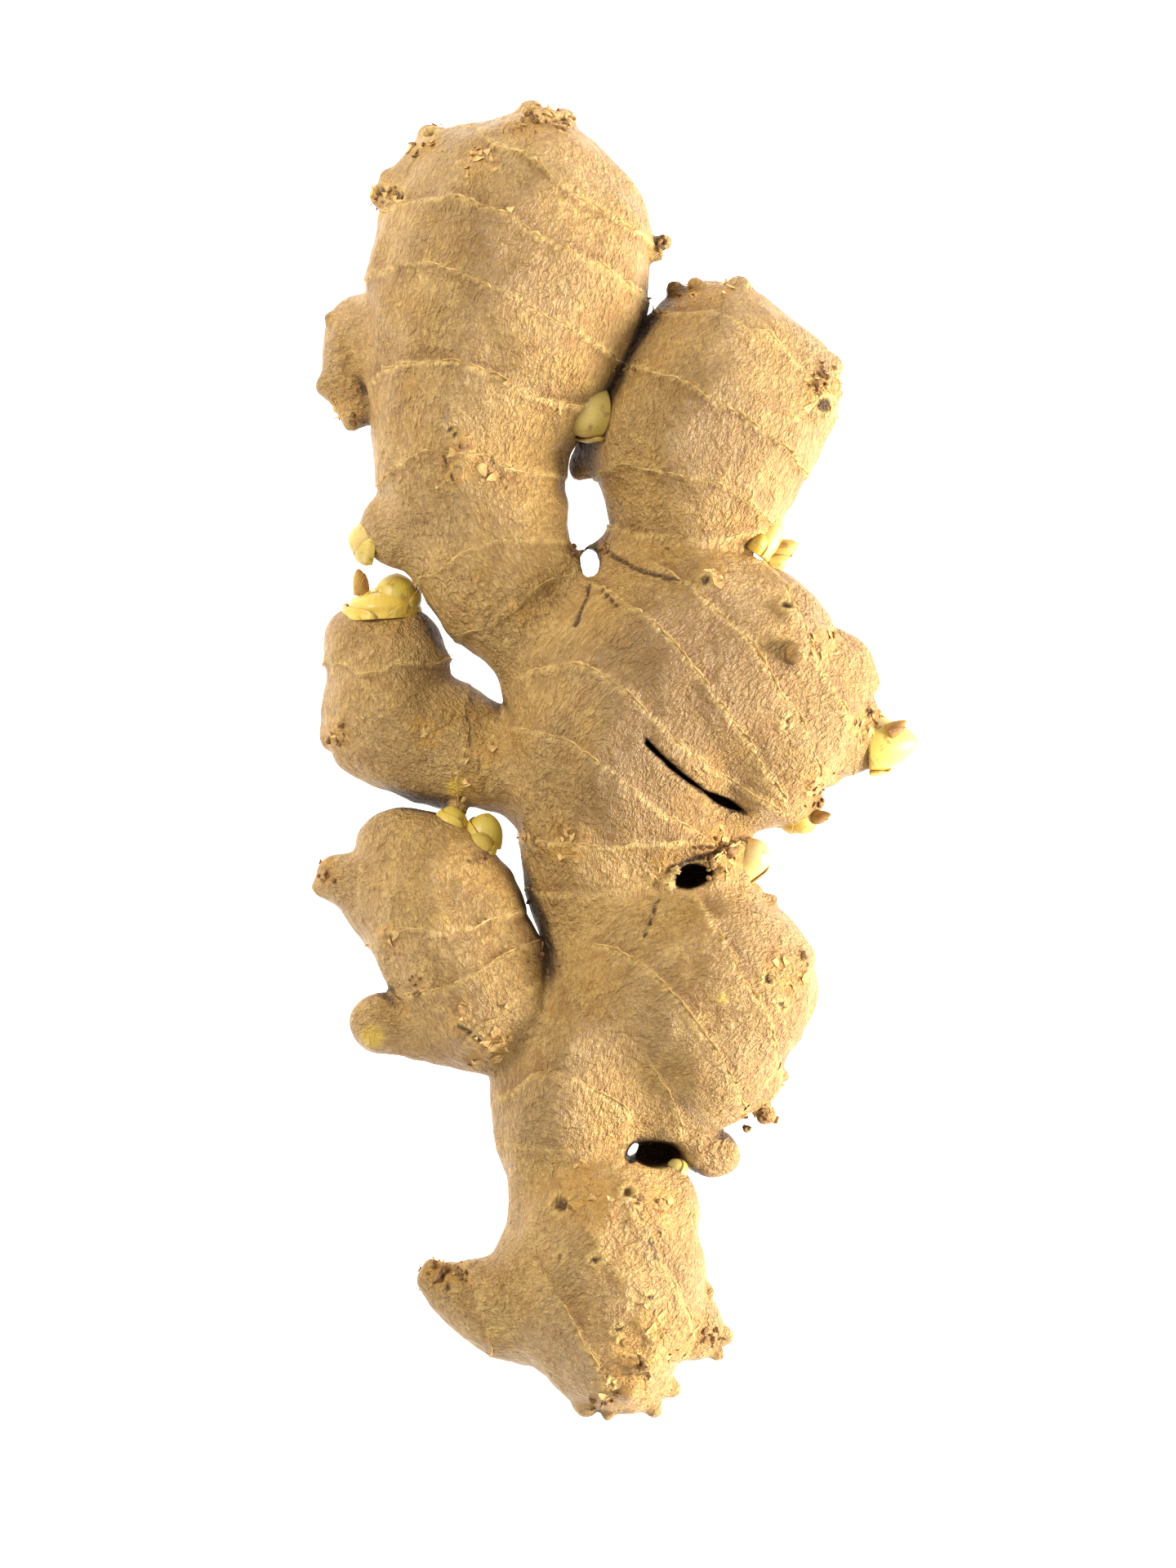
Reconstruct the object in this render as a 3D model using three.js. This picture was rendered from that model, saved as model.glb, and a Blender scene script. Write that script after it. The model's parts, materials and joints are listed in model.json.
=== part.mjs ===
// A hand of fresh ginger: one rhizome with seven short fingers, their knobs and buds, lying on its back.
// It is drawn as chains of balls strung along each finger, melted together, and skinned with marching cubes.
// Millimetres, +Z up. The origin is on the surface it lies on, under the middle of its box; +Y runs to the crown.
import * as THREE from "three";
import { mergeVertices } from "three/addons/utils/BufferGeometryUtils.js";
import { edgeTable, triTable } from "three/addons/objects/MarchingCubes.js";

const ballSpacing = 1; // along a finger's line
const meltRadius = 2.2; // how far the crease between two fingers is filled
const swell = 0.4; // height of the swells on the fingers
const cell = 2.45; // marching-cubes step
const margin = 2; // cells of free space round the skin
const longestPull = 0.6; // furthest a vertex is moved onto the true surface

// depth: the finger's thickness over its width. balls: [x, y, z, radius] from the root of the finger to its tip.
const fingers = {
  crown: {
    depth: 0.86,
    balls: [
      [-6.2, 13.7, 14.2, 8.2], [-10.1, 19.2, 14.2, 9.3], [-14.1, 24.7, 14.2, 10.2], [-17.2, 31.7, 14.3, 10.8],
      [-18.1, 37.7, 14.5, 11.6], [-17.7, 43.7, 14.6, 12.8], [-15.7, 49.7, 14.6, 14.6], [-14.0, 55.2, 14.5, 16.6],
      [-13.2, 61.7, 14.4, 17.2], [-13.2, 64.5, 14.4, 14.6],
    ],
  },
  crownRim: {
    depth: 0.95,
    balls: [
      [-21.7, 70.0, 12.5, 7.3], [-15.7, 68.5, 15.0, 8.6], [-10.5, 71.1, 15.5, 8.7], [-6.7, 69.5, 14.5, 7.6],
      [-5.2, 64.5, 14.0, 9.2],
    ],
  },
  crownKnob: {
    depth: 0.95,
    balls: [
      [-26.7, 49.7, 12.5, 6.0], [-31.7, 53.5, 11.5, 4.2], [-32.4, 48.5, 11.2, 4.0], [-31.6, 44.3, 11.8, 3.0],
    ],
  },
  neckKnob: { depth: 0.95, balls: [[-22.7, 29.7, 14.0, 6.5], [-27.1, 28.6, 14.5, 4.4]] },
  rightFinger: {
    depth: 0.86,
    balls: [
      [3.8, 20.2, 13.5, 8.0], [6.3, 28.2, 13.0, 7.8], [9.1, 33.7, 12.6, 11.4], [10.7, 39.7, 12.4, 14.2],
      [11.1, 42.7, 12.3, 14.6], [12.7, 46.7, 12.3, 12.4],
    ],
  },
  rightFingerRim: {
    depth: 0.95,
    balls: [
      [8.5, 53.1, 11.5, 5.6], [13.3, 51.0, 13.2, 8.0], [20.1, 47.9, 12.6, 7.2], [22.7, 44.1, 11.8, 4.8],
    ],
  },
  middle: {
    depth: 0.86,
    balls: [
      [-2.2, -16.3, 12.6, 8.6], [-2.1, -10.3, 13.0, 9.7], [-0.9, -2.3, 13.8, 12.4], [1.5, 5.7, 14.6, 15.0],
      [4.8, 11.5, 14.8, 15.4], [11.1, 11.3, 14.6, 14.4], [17.8, 7.9, 14.2, 11.8],
    ],
  },
  middleShoulder: { depth: 0.92, balls: [[9.3, 14.7, 14.5, 12.0], [14.9, 18.7, 14.0, 8.8]] },
  sideCorner: {
    depth: 0.95,
    balls: [
      [17.3, 13.7, 13.8, 9.0], [21.8, 13.1, 13.4, 6.8], [27.3, 12.4, 13.0, 4.1],
    ],
  },
  rightStub: { depth: 1, balls: [[22.8, 4.7, 13.0, 7.0], [28.8, 3.3, 12.6, 4.4], [32.5, 2.9, 12.4, 3.6]] },
  lowerKnob: {
    depth: 1,
    balls: [
      [17.3, 0.2, 13.0, 7.4], [21.5, -4.1, 11.8, 4.2], [22.9, -6.3, 11.4, 2.7],
    ],
  },
  crotch: { depth: 0.9, balls: [[8.3, 0.7, 13.0, 9.0], [13.6, -2.5, 12.6, 6.0], [16.8, -3.8, 12.4, 4.4]] },
  leftFinger: {
    depth: 0.92,
    balls: [
      [-6.7, -1.3, 13.0, 7.0], [-14.5, 0.5, 12.2, 6.4], [-21.2, 3.0, 11.2, 7.7], [-27.2, 5.7, 10.6, 8.8],
      [-28.4, 11.5, 10.8, 7.8],
    ],
  },
  leftFingerTop: { depth: 0.95, balls: [[-30.9, 14.5, 10.6, 4.8], [-26.8, 14.7, 10.8, 4.4]] },
  leftFingerKnob: { depth: 1, balls: [[-30.7, 5.7, 10.4, 5.0], [-33.8, 4.3, 10.0, 2.7]] },
  thumb: {
    depth: 0.92,
    balls: [
      [-11.3, -31.5, 14.0, 5.8], [-15.5, -27.5, 14.6, 9.4], [-19.7, -22.3, 14.8, 10.2], [-22.2, -16.7, 14.6, 10.0],
      [-22.5, -13.3, 14.4, 8.0],
    ],
  },
  thumbTop: {
    depth: 0.95,
    balls: [
      [-27.1, -9.9, 14.0, 4.9], [-22.1, -10.9, 14.4, 5.7], [-19.7, -12.5, 14.4, 5.0],
    ],
  },
  thumbHeel: { depth: 0.95, balls: [[-16.7, -30.3, 14.2, 7.2], [-22.7, -31.3, 13.8, 5.1]] },
  thumbUpperStub: {
    depth: 1,
    balls: [
      [-28.7, -15.3, 14.2, 4.6], [-31.7, -14.3, 14.0, 3.7], [-34.5, -14.0, 13.8, 2.8],
    ],
  },
  thumbLowerStub: {
    depth: 1,
    balls: [
      [-22.7, -31.5, 14.2, 4.6], [-26.1, -31.9, 14.4, 3.8], [-29.0, -31.7, 14.6, 3.5],
    ],
  },
  lowerFinger: {
    depth: 0.88,
    balls: [
      [-2.2, -16.3, 12.4, 8.8], [1.1, -21.3, 12.2, 10.4], [5.5, -25.9, 12.0, 13.0], [9.3, -27.9, 11.9, 14.0],
    ],
  },
  lowerFingerBrow: {
    depth: 0.95,
    balls: [
      [8.8, -21.3, 12.2, 8.6], [11.5, -18.9, 12.0, 6.2], [15.5, -21.5, 11.6, 5.4],
    ],
  },
  lowerFingerTip: { depth: 0.95, balls: [[12.3, -27.8, 12.0, 11.0], [18.1, -28.4, 11.8, 6.0]] },
  lowerFingerHeel: { depth: 0.95, balls: [[9.3, -35.3, 11.6, 10.0], [13.5, -37.1, 11.0, 7.4]] },
  lowerFingerHem: {
    depth: 0.95,
    balls: [
      [0.3, -39.3, 11.8, 7.0], [5.8, -40.8, 11.4, 5.6], [9.3, -41.3, 11.0, 4.6],
    ],
  },
  pinky: { depth: 1, balls: [[8.3, -44.8, 9.6, 3.4], [11.8, -46.9, 9.5, 3.1]] },
  stem: {
    depth: 0.94,
    balls: [
      [0.9, -24.3, 12.2, 9.0], [-1.9, -30.8, 12.1, 10.8], [-5.5, -38.1, 11.9, 10.4], [-6.9, -45.3, 11.6, 7.8],
      [-5.5, -51.3, 11.2, 7.7], [-2.2, -57.5, 10.8, 10.8], [-1.1, -64.3, 10.6, 11.6], [-0.7, -69.8, 10.2, 9.2],
      [0.9, -75.1, 9.0, 5.4],
    ],
  },
  footShoulder: { depth: 0.95, balls: [[0.3, -56.3, 11.0, 8.0], [4.5, -54.1, 11.4, 5.4]] },
  footNub: { depth: 1, balls: [[4.3, -66.3, 10.0, 6.5], [8.7, -68.9, 9.4, 4.6]] },
  horn: {
    depth: 0.95,
    balls: [
      [-5.7, -66.1, 10.6, 8.4], [-13.2, -66.3, 10.4, 6.2], [-18.5, -64.9, 10.8, 4.5], [-22.4, -62.9, 11.4, 2.4],
    ],
  },
  gapBud: { depth: 1, balls: [[-2.2, 41.7, 15.0, 2.6], [-4.2, 43.2, 15.6, 2.2]] },
  neckKnobBud: { depth: 1, balls: [[-29.5, 28.2, 14.5, 2.6], [-31.6, 27.5, 14.5, 1.9]] },
  leftFingerBud: {
    depth: 0.95,
    balls: [
      [-28.3, 17.5, 10.9, 4.2], [-27.9, 21.1, 11.2, 2.8], [-29.9, 21.5, 11.0, 2.3],
    ],
  },
  thumbBud: {
    depth: 0.95,
    balls: [
      [-20.1, -9.3, 14.6, 3.6], [-17.9, -7.7, 14.8, 3.0], [-16.5, -8.9, 14.6, 2.0],
    ],
  },
  rightFingerBud: { depth: 1, balls: [[15.8, 24.7, 12.4, 4.0], [19.1, 28.0, 11.8, 2.7]] },
  rightStubBud: { depth: 1, balls: [[33.3, 2.9, 12.4, 3.3], [36.1, 3.3, 12.2, 1.5]] },
  crotchBud: { depth: 1, balls: [[12.3, -14.3, 12.4, 4.0], [16.7, -10.9, 12.8, 2.1]] },
};

// The balls strung every millimetre along one finger's line, as [x, y, z, radius, depth].
function strungBalls({ depth, balls }) {
  const line = new THREE.CatmullRomCurve3(balls.map(([x, y, z]) => new THREE.Vector3(x, y, z)), false, "centripetal");
  const steps = Math.max(2, Math.ceil(line.getLength() / ballSpacing));
  return Array.from({ length: steps + 1 }, (_, i) => {
    const place = (i / steps) * (balls.length - 1);
    const first = Math.min(Math.floor(place), balls.length - 2);
    const radius = THREE.MathUtils.lerp(balls[first][3], balls[first + 1][3], place - first);
    const p = line.getPoint(i / steps);
    return [p.x, p.y, p.z, radius, depth];
  });
}

const strings = Object.values(fingers).map(strungBalls);

// How far a point is outside one string of balls.
function stringDistance(balls, x, y, z) {
  let nearest = Infinity;
  for (const [bx, by, bz, radius, depth] of balls) {
    nearest = Math.min(nearest, Math.hypot(x - bx, y - by, (z - bz) / depth) - radius);
  }
  return nearest;
}

// A minimum whose corner is rounded off over the melt radius.
function melted(a, b) {
  const overlap = Math.max(meltRadius - Math.abs(a - b), 0) / meltRadius;
  return Math.min(a, b) - (overlap * overlap * meltRadius) / 4;
}

// Shallow swells and hollows that keep the fingers from being plain sausages.
function unevenness(x, y, z) {
  const broad = Math.sin(0.31 * x + 1) * Math.sin(0.27 * y + 0.12 * z + 0.4);
  const narrow = Math.sin(0.52 * y - 0.35 * z + 2) * Math.sin(0.44 * x + 0.5 * z);
  return swell * (broad + 0.6 * narrow);
}

function rootDistance(x, y, z) {
  return strings.reduce((soFar, balls) => melted(soFar, stringDistance(balls, x, y, z)), 1e3) - unevenness(x, y, z);
}

// Corner offsets and the two corners of each edge, in the order that the marching-cubes tables use.
const corners = [[0, 0, 0], [1, 0, 0], [1, 1, 0], [0, 1, 0], [0, 0, 1], [1, 0, 1], [1, 1, 1], [0, 1, 1]];
const edges = [[0, 1], [1, 2], [2, 3], [3, 0], [4, 5], [5, 6], [6, 7], [7, 4], [0, 4], [1, 5], [2, 6], [3, 7]];
const tableRow = 16;

function skin(distance, box) {
  const size = box.getSize(new THREE.Vector3()).divideScalar(cell).ceil();
  const counts = [size.x + 1, size.y + 1, size.z + 1];
  const at = (i, axis) => box.min.getComponent(axis) + i * cell;
  const index = (i, j, k) => i + counts[0] * (j + counts[1] * k);
  const values = new Float64Array(counts[0] * counts[1] * counts[2]);
  for (let k = 0; k < counts[2]; k++) {
    for (let j = 0; j < counts[1]; j++) {
      for (let i = 0; i < counts[0]; i++) {
        const d = distance(at(i, 0), at(j, 1), at(k, 2));
        values[index(i, j, k)] = Math.abs(d) < cell * 0.08 ? (d < 0 ? -1 : 1) * cell * 0.08 : d;
      }
    }
  }
  const positions = [];
  for (let k = 0; k < counts[2] - 1; k++) {
    for (let j = 0; j < counts[1] - 1; j++) {
      for (let i = 0; i < counts[0] - 1; i++) {
        const value = corners.map(([a, b, c]) => values[index(i + a, j + b, k + c)]);
        const kind = value.reduce((bits, v, n) => bits | (v > 0 ? 1 << n : 0), 0);
        if (edgeTable[kind] === 0) continue;
        for (let t = kind * tableRow; triTable[t] !== -1; t++) {
          const [from, to] = edges[triTable[t]];
          const share = value[from] / (value[from] - value[to]);
          const point = corners[from].map((c, n) => c + (corners[to][n] - c) * share);
          positions.push(at(i + point[0], 0), at(j + point[1], 1), at(k + point[2], 2));
        }
      }
    }
  }
  const geometry = new THREE.BufferGeometry();
  geometry.setAttribute("position", new THREE.Float32BufferAttribute(positions, 3));
  return mergeVertices(geometry, 1e-3);
}

// Moves each vertex onto the true surface, down the slope of the distance.
function pullOnto(geometry, distance) {
  const position = geometry.getAttribute("position");
  const h = 0.05;
  for (let i = 0; i < position.count; i++) {
    const [x, y, z] = [position.getX(i), position.getY(i), position.getZ(i)];
    const d = distance(x, y, z);
    const slope = new THREE.Vector3(
      distance(x + h, y, z) - distance(x - h, y, z),
      distance(x, y + h, z) - distance(x, y - h, z),
      distance(x, y, z + h) - distance(x, y, z - h),
    ).divideScalar(2 * h);
    const move = slope.multiplyScalar(-d / Math.max(slope.lengthSq(), 1)).clampLength(0, longestPull);
    position.setXYZ(i, x + move.x, y + move.y, Math.max(z + move.z, 0));
  }
}

function centreOnItsBox(geometry) {
  geometry.computeBoundingBox();
  const middle = geometry.boundingBox.getCenter(new THREE.Vector3());
  geometry.translate(-middle.x, -middle.y, 0);
}

const box = new THREE.Box3();
for (const [x, y, z, radius] of strings.flat()) {
  box.expandByPoint(new THREE.Vector3(x - radius, y - radius, z - radius));
  box.expandByPoint(new THREE.Vector3(x + radius, y + radius, z + radius));
}
box.expandByScalar(margin * cell);

const geometry = skin(rootDistance, box);
pullOnto(geometry, rootDistance);
centreOnItsBox(geometry);
geometry.computeVertexNormals();

const rind = new THREE.MeshStandardMaterial({ color: 0xc29a60, roughness: 0.72, metalness: 0 });
const root = new THREE.Mesh(geometry, rind);
root.name = "ginger_root";

const ginger = new THREE.Group();
ginger.add(root);

export default ginger;
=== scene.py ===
import json
import math
import bpy
import numpy as np
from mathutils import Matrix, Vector

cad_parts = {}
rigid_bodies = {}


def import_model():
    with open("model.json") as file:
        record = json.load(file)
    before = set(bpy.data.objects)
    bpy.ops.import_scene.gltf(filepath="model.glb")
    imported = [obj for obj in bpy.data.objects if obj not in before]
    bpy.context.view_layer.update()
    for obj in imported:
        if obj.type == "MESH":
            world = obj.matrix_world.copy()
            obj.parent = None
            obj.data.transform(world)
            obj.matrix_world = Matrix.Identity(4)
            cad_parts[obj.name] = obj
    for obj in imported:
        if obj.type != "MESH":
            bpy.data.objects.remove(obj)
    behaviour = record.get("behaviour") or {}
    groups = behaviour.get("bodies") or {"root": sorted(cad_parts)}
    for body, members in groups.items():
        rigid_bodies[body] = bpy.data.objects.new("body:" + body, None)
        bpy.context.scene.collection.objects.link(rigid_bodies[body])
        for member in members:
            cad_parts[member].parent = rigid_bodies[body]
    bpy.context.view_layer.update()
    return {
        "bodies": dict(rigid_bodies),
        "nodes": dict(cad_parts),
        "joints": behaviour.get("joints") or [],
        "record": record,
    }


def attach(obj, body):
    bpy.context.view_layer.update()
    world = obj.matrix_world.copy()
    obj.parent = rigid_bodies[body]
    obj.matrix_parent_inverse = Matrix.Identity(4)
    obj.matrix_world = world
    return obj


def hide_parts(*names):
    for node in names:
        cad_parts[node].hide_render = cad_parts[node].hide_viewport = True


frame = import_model()
mm = 0.001

# The shape, in millimetres. Each finger is a string of balls (x, y, z, radius) from its root to its tip.
# depth is thickness over width, melt how softly its root and its tip run into the others.
fingers = {
    "crown": {
        "grain": "crown", "depth": 0.86, "melt": (3, 3),
        "balls": [
            (-6.5, 13.5, 14.2, 8.2), (-10.4, 19, 14.2, 9.3), (-14.4, 24.5, 14.2, 10.2),
            (-17.5, 31.5, 14.3, 10.8), (-18.4, 37.5, 14.5, 11.6), (-18, 43.5, 14.6, 12.8),
            (-16, 49.5, 14.6, 14.6), (-14.3, 55, 14.5, 16.6), (-13.5, 61.5, 14.4, 17.2),
            (-13.5, 64.3, 14.4, 14.6),
        ],
    },
    "crownRim": {
        "grain": "crown", "depth": 0.95, "melt": (3, 2),
        "balls": [
            (-22, 69.5, 12.5, 7), (-16, 67.7, 15, 8.3), (-11, 70.5, 15.5, 8.4), (-7.5, 68.8, 14.5, 7.2),
            (-5.8, 63.7, 14, 8.8),
        ],
    },
    "crownKnob": {
        "grain": "crownKnob", "depth": 0.95, "melt": (2, 1.2),
        "balls": [
            (-27, 49.5, 12.5, 6), (-32, 53.3, 11.5, 4.2), (-32.7, 48.3, 11.2, 4),
            (-31.9, 44.1, 11.8, 3),
        ],
    },
    "neckKnob": {
        "grain": "neckKnob", "depth": 0.95, "melt": (2, 0.8),
        "balls": [(-23, 29.5, 14, 6.5), (-27.3, 28.3, 14.5, 4.3), (-28.2, 29.5, 14.4, 3.2)],
    },
    "middle": {
        "grain": "spine", "depth": 0.86, "melt": (3, 3),
        "balls": [
            (-1.8, -16.5, 12.6, 8.2), (-2.4, -10.5, 13, 9.7), (-1.2, -2.5, 13.8, 12.4),
            (1.2, 5.5, 14.6, 15), (4.5, 11.3, 14.8, 15.4), (10.8, 11.1, 14.6, 14.2),
            (17.3, 7.5, 14.2, 11.6),
        ],
    },
    "middleShoulder": {
        "grain": "spine", "depth": 0.92, "melt": (4, 3),
        "balls": [(9, 14.5, 14.5, 12), (13.3, 17.3, 14, 7.2)],
    },
    "sideCorner": {
        "grain": "spine", "depth": 0.95, "melt": (4, 2.4),
        "balls": [(17, 13.5, 13.8, 9), (20.8, 12.3, 13.4, 6.4), (26.7, 11.7, 13, 4)],
    },
    "rightStub": {
        "grain": "rightStub", "depth": 1, "melt": (3, 1.6),
        "balls": [(22.5, 4.5, 13, 7), (27, 3.1, 12.6, 4.9), (28.4, 2.6, 12.4, 4.3)],
    },
    "lowerKnob": {
        "grain": "spine", "depth": 1, "melt": (3, 1.4),
        "balls": [(17, 0, 13, 7.4), (20.2, -4.1, 11.8, 4.2)],
    },
    "crotch": {
        "grain": "spine", "depth": 0.9, "melt": (3, 0.8),
        "balls": [(8, 0.5, 13, 9), (13.3, -2.7, 12.6, 6), (16.5, -4, 12.4, 4.4)],
    },
    "rightFinger": {
        "grain": "rightFinger", "depth": 0.86, "melt": (2.4, 0.3),
        "balls": [
            (3.5, 20, 13.5, 8), (6, 28, 13, 7.8), (8.6, 33.5, 12.6, 11), (9.9, 39.5, 12.4, 13.6),
            (10.7, 42.5, 12.3, 14.1), (13.5, 45.7, 12.3, 11.2),
        ],
    },
    "rightFingerRim": {
        "grain": "rightFinger", "depth": 0.95, "melt": (3, 2),
        "balls": [
            (9.6, 52.7, 11.5, 5.6), (12.8, 50.5, 13.2, 7.8), (19.3, 47.2, 12.6, 6.9),
            (22.4, 43.9, 11.8, 4.8),
        ],
    },
    "leftFinger": {
        "grain": "leftFinger", "depth": 0.92, "melt": (2.4, 0.3),
        "balls": [
            (-7, -1.5, 13, 7), (-14.8, 0.3, 12.2, 6.4), (-21.5, 2.8, 11.2, 7.7),
            (-27.5, 5.5, 10.6, 8.8), (-28.7, 11.3, 10.8, 7.8),
        ],
    },
    "leftFingerTop": {
        "grain": "leftFinger", "depth": 0.95, "melt": (2, 1.2),
        "balls": [(-31.6, 14.5, 10.6, 5.1), (-27.1, 14.5, 10.8, 4.4)],
    },
    "leftFingerKnob": {
        "grain": "leftFinger", "depth": 1, "melt": (2, 1),
        "balls": [(-30.8, 5.7, 10.4, 4.4), (-34, 4.3, 10, 2.4)],
    },
    "lowerFinger": {
        "grain": "lowerFinger", "depth": 0.88, "melt": (3, 1.2),
        "balls": [
            (-1.5, -16.5, 12.4, 8.2), (1.4, -21.5, 12.2, 10), (5.2, -26.1, 12, 13),
            (9, -28.1, 11.9, 14),
        ],
    },
    "lowerFingerBrow": {
        "grain": "lowerFinger", "depth": 0.95, "melt": (3, 1.2),
        "balls": [(8.5, -21.5, 12.2, 8.6), (10.8, -19.5, 12, 6), (14.4, -22.3, 11.6, 5)],
    },
    "lowerFingerTip": {
        "grain": "lowerFinger", "depth": 0.95, "melt": (4, 2.4),
        "balls": [(12, -28, 12, 11), (17.8, -28.6, 11.8, 6)],
    },
    "lowerFingerHeel": {
        "grain": "lowerFinger", "depth": 0.95, "melt": (4, 2.4),
        "balls": [(9, -35.5, 11.6, 10), (12.8, -36.9, 11, 6.9)],
    },
    "lowerFingerHem": {
        "grain": "lowerFinger", "depth": 0.95, "melt": (3, 1.6),
        "balls": [(0, -39.5, 11.8, 7), (5.5, -41, 11.4, 5.6), (9, -41.5, 11, 4.6)],
    },
    "stem": {
        "grain": "spine", "depth": 0.94, "melt": (3, 3),
        "balls": [
            (0.6, -24.5, 12.2, 9), (-2.2, -31, 12.1, 10.8), (-5.8, -38.3, 11.9, 10.4),
            (-7.2, -45.5, 11.6, 7.8), (-5.8, -51.5, 11.2, 7.7), (-3.2, -56.5, 10.9, 10.2),
        ],
    },
    "foot": {
        "grain": "foot", "depth": 0.94, "melt": (3, 3),
        "balls": [
            (-3.8, -55.5, 10.8, 9.2), (-2.5, -57.7, 10.8, 10.8), (-1.4, -64.5, 10.6, 11.6),
            (-1, -70, 10.2, 9.2), (0.6, -75.3, 9, 5.4),
        ],
    },
    "footShoulder": {
        "grain": "foot", "depth": 0.95, "melt": (3, 1),
        "balls": [(0, -56.5, 11, 8), (4.2, -54.3, 11.4, 5.4)],
    },
    "footNub": {
        "grain": "foot", "depth": 1, "melt": (2, 1.4),
        "balls": [(4, -66.5, 10, 6.5), (8.4, -69.1, 9.4, 4.6)],
    },
    "horn": {
        "grain": "foot", "depth": 0.95, "melt": (3, 1.6),
        "balls": [
            (-6, -66.3, 10.6, 8.4), (-13.5, -66.5, 10.4, 6.2), (-18.8, -65.1, 10.8, 4.5),
            (-22.7, -63.1, 11.4, 2.4),
        ],
    },
    "pinky": {
        "grain": "pinky", "depth": 1, "melt": (1, 0.4),
        "balls": [(8.2, -45.6, 9.6, 3.6), (11.3, -47.6, 9.5, 3.3)],
    },
    "thumb": {
        "grain": "thumb", "depth": 0.92, "melt": (0.8, 0.3),
        "balls": [
            (-11.6, -31.7, 14, 5.8), (-16.2, -28.3, 14.6, 8.8), (-20.3, -22.5, 14.8, 9.7),
            (-22.5, -16.9, 14.6, 9.4), (-23, -13.8, 14.4, 6.8),
        ],
    },
    "thumbTop": {
        "grain": "thumb", "depth": 0.95, "melt": (2, 1),
        "balls": [(-27.4, -10.1, 14, 4.8), (-23.4, -11.2, 14.4, 4.7), (-20.6, -13.5, 14.4, 4.4)],
    },
    "thumbHeel": {
        "grain": "thumb", "depth": 0.95, "melt": (2, 1.2),
        "balls": [(-17.2, -30.9, 14.2, 7.3), (-23, -31.3, 13.8, 5)],
    },
    "thumbUpperStub": {
        "grain": "thumbUpperStub", "depth": 1, "melt": (1.6, 1),
        "balls": [(-28.5, -16.5, 14.2, 5.4), (-31.9, -14.9, 14, 3.9), (-34.8, -14.2, 13.8, 2.8)],
    },
    "thumbLowerStub": {
        "grain": "thumbLowerStub", "depth": 1, "melt": (1.2, 0.8),
        "balls": [(-23, -31.3, 14.2, 4.4), (-26.3, -31.6, 14.4, 3.7), (-29.4, -31.4, 14.6, 3.6)],
    },
    "web": {
        "grain": "spine", "depth": 0.95, "melt": (3, 1.5),
        "balls": [(6, -10.5, 12.5, 8.6), (9.8, -10.9, 12.5, 6), (12.4, -10.5, 12.2, 4)],
    },
    "footFill": {
        "grain": "foot", "depth": 0.95, "melt": (2, 1),
        "balls": [(1, -51.5, 9, 5), (5.2, -47.9, 7, 3.4)],
    },
    "gapFill": {
        "grain": "rightFinger", "depth": 1, "melt": (1.5, 1),
        "balls": [(-2.8, 38.7, 9.5, 2.6), (-4.8, 36.3, 8.6, 1.5)],
    },
    "crook": {
        "grain": "foot", "depth": 0.95, "melt": (3, 2),
        "balls": [(-7, -62.5, 10.6, 7), (-9.2, -61.7, 10.6, 6.2)],
    },
}

# Small root stubs and bumps: (x, y, z, radius).
nubs = [
    (-29.8, 69.3, 13.5, 1.3), (-28, 71.3, 14.5, 1.6), (-26, 73, 15.5, 1.2), (-23.2, 76.3, 13.5, 1.9),
    (-20.8, 75.7, 16, 1.3), (-11, 79.2, 15.5, 1.7), (-9.2, 78.5, 17, 1.3), (-7, 78.5, 15, 1.5),
    (5.2, 63.7, 14, 1.1), (4.6, 62, 15.5, 0.8), (-33.1, 41.6, 12, 0.6), (6.6, 58.3, 12.8, 1),
    (9, 58.5, 15, 1), (14.5, 58.3, 14, 1), (25.6, 45.7, 13.5, 1.6), (24.4, 43, 16.5, 1.2),
    (26.2, 48.7, 12.5, 1.1), (22.4, -23.7, 12, 0.8), (20, -21.5, 14, 0.9), (20.2, -38.3, 11, 0.9),
    (17.8, -43.3, 10.5, 1.1), (15.5, -44.9, 11, 0.8), (21.1, 13.1, 25.2, 0.9), (10.2, 22.3, 23.2, 1.2),
    (30.2, 10, 13, 1), (29.8, 6.7, 14, 1.1), (24.3, -5, 12, 1), (26, -1.7, 13, 0.9), (11, -65, 11, 0.9),
    (12.7, -70.3, 9.8, 1.3), (11.9, -72.7, 9.4, 0.9), (-4, -79.1, 9.5, 1.3), (-1.5, -80.1, 10, 1.1),
    (4, -79.7, 9, 1.2), (6.2, -76.7, 9.5, 1.1), (1, -76.5, 15.5, 1.3), (-2.5, -75.5, 15, 1.2),
    (3.2, -73.3, 17.5, 1.1), (-23.2, -61.3, 12.2, 0.9), (-21.5, -61.5, 12.6, 0.7),
    (-35.8, -12.7, 14, 1.2), (-36.9, -15.1, 13.6, 0.9), (-35.6, 3, 10.4, 1.1), (-34.2, 1.3, 10.2, 0.9),
    (-36.2, 46.5, 11.5, 0.9), (-35.8, 54.7, 12, 0.8), (-20, -5.5, 14.5, 0.8), (16.5, -15.7, 12.5, 1),
    (14.5, -14, 14.5, 0.9), (18.5, -16.5, 12, 0.8), (20, 17.5, 22.8, 0.8), (24, 6.5, 20, 1),
    (25, 3.5, 17, 0.9),
]

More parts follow.
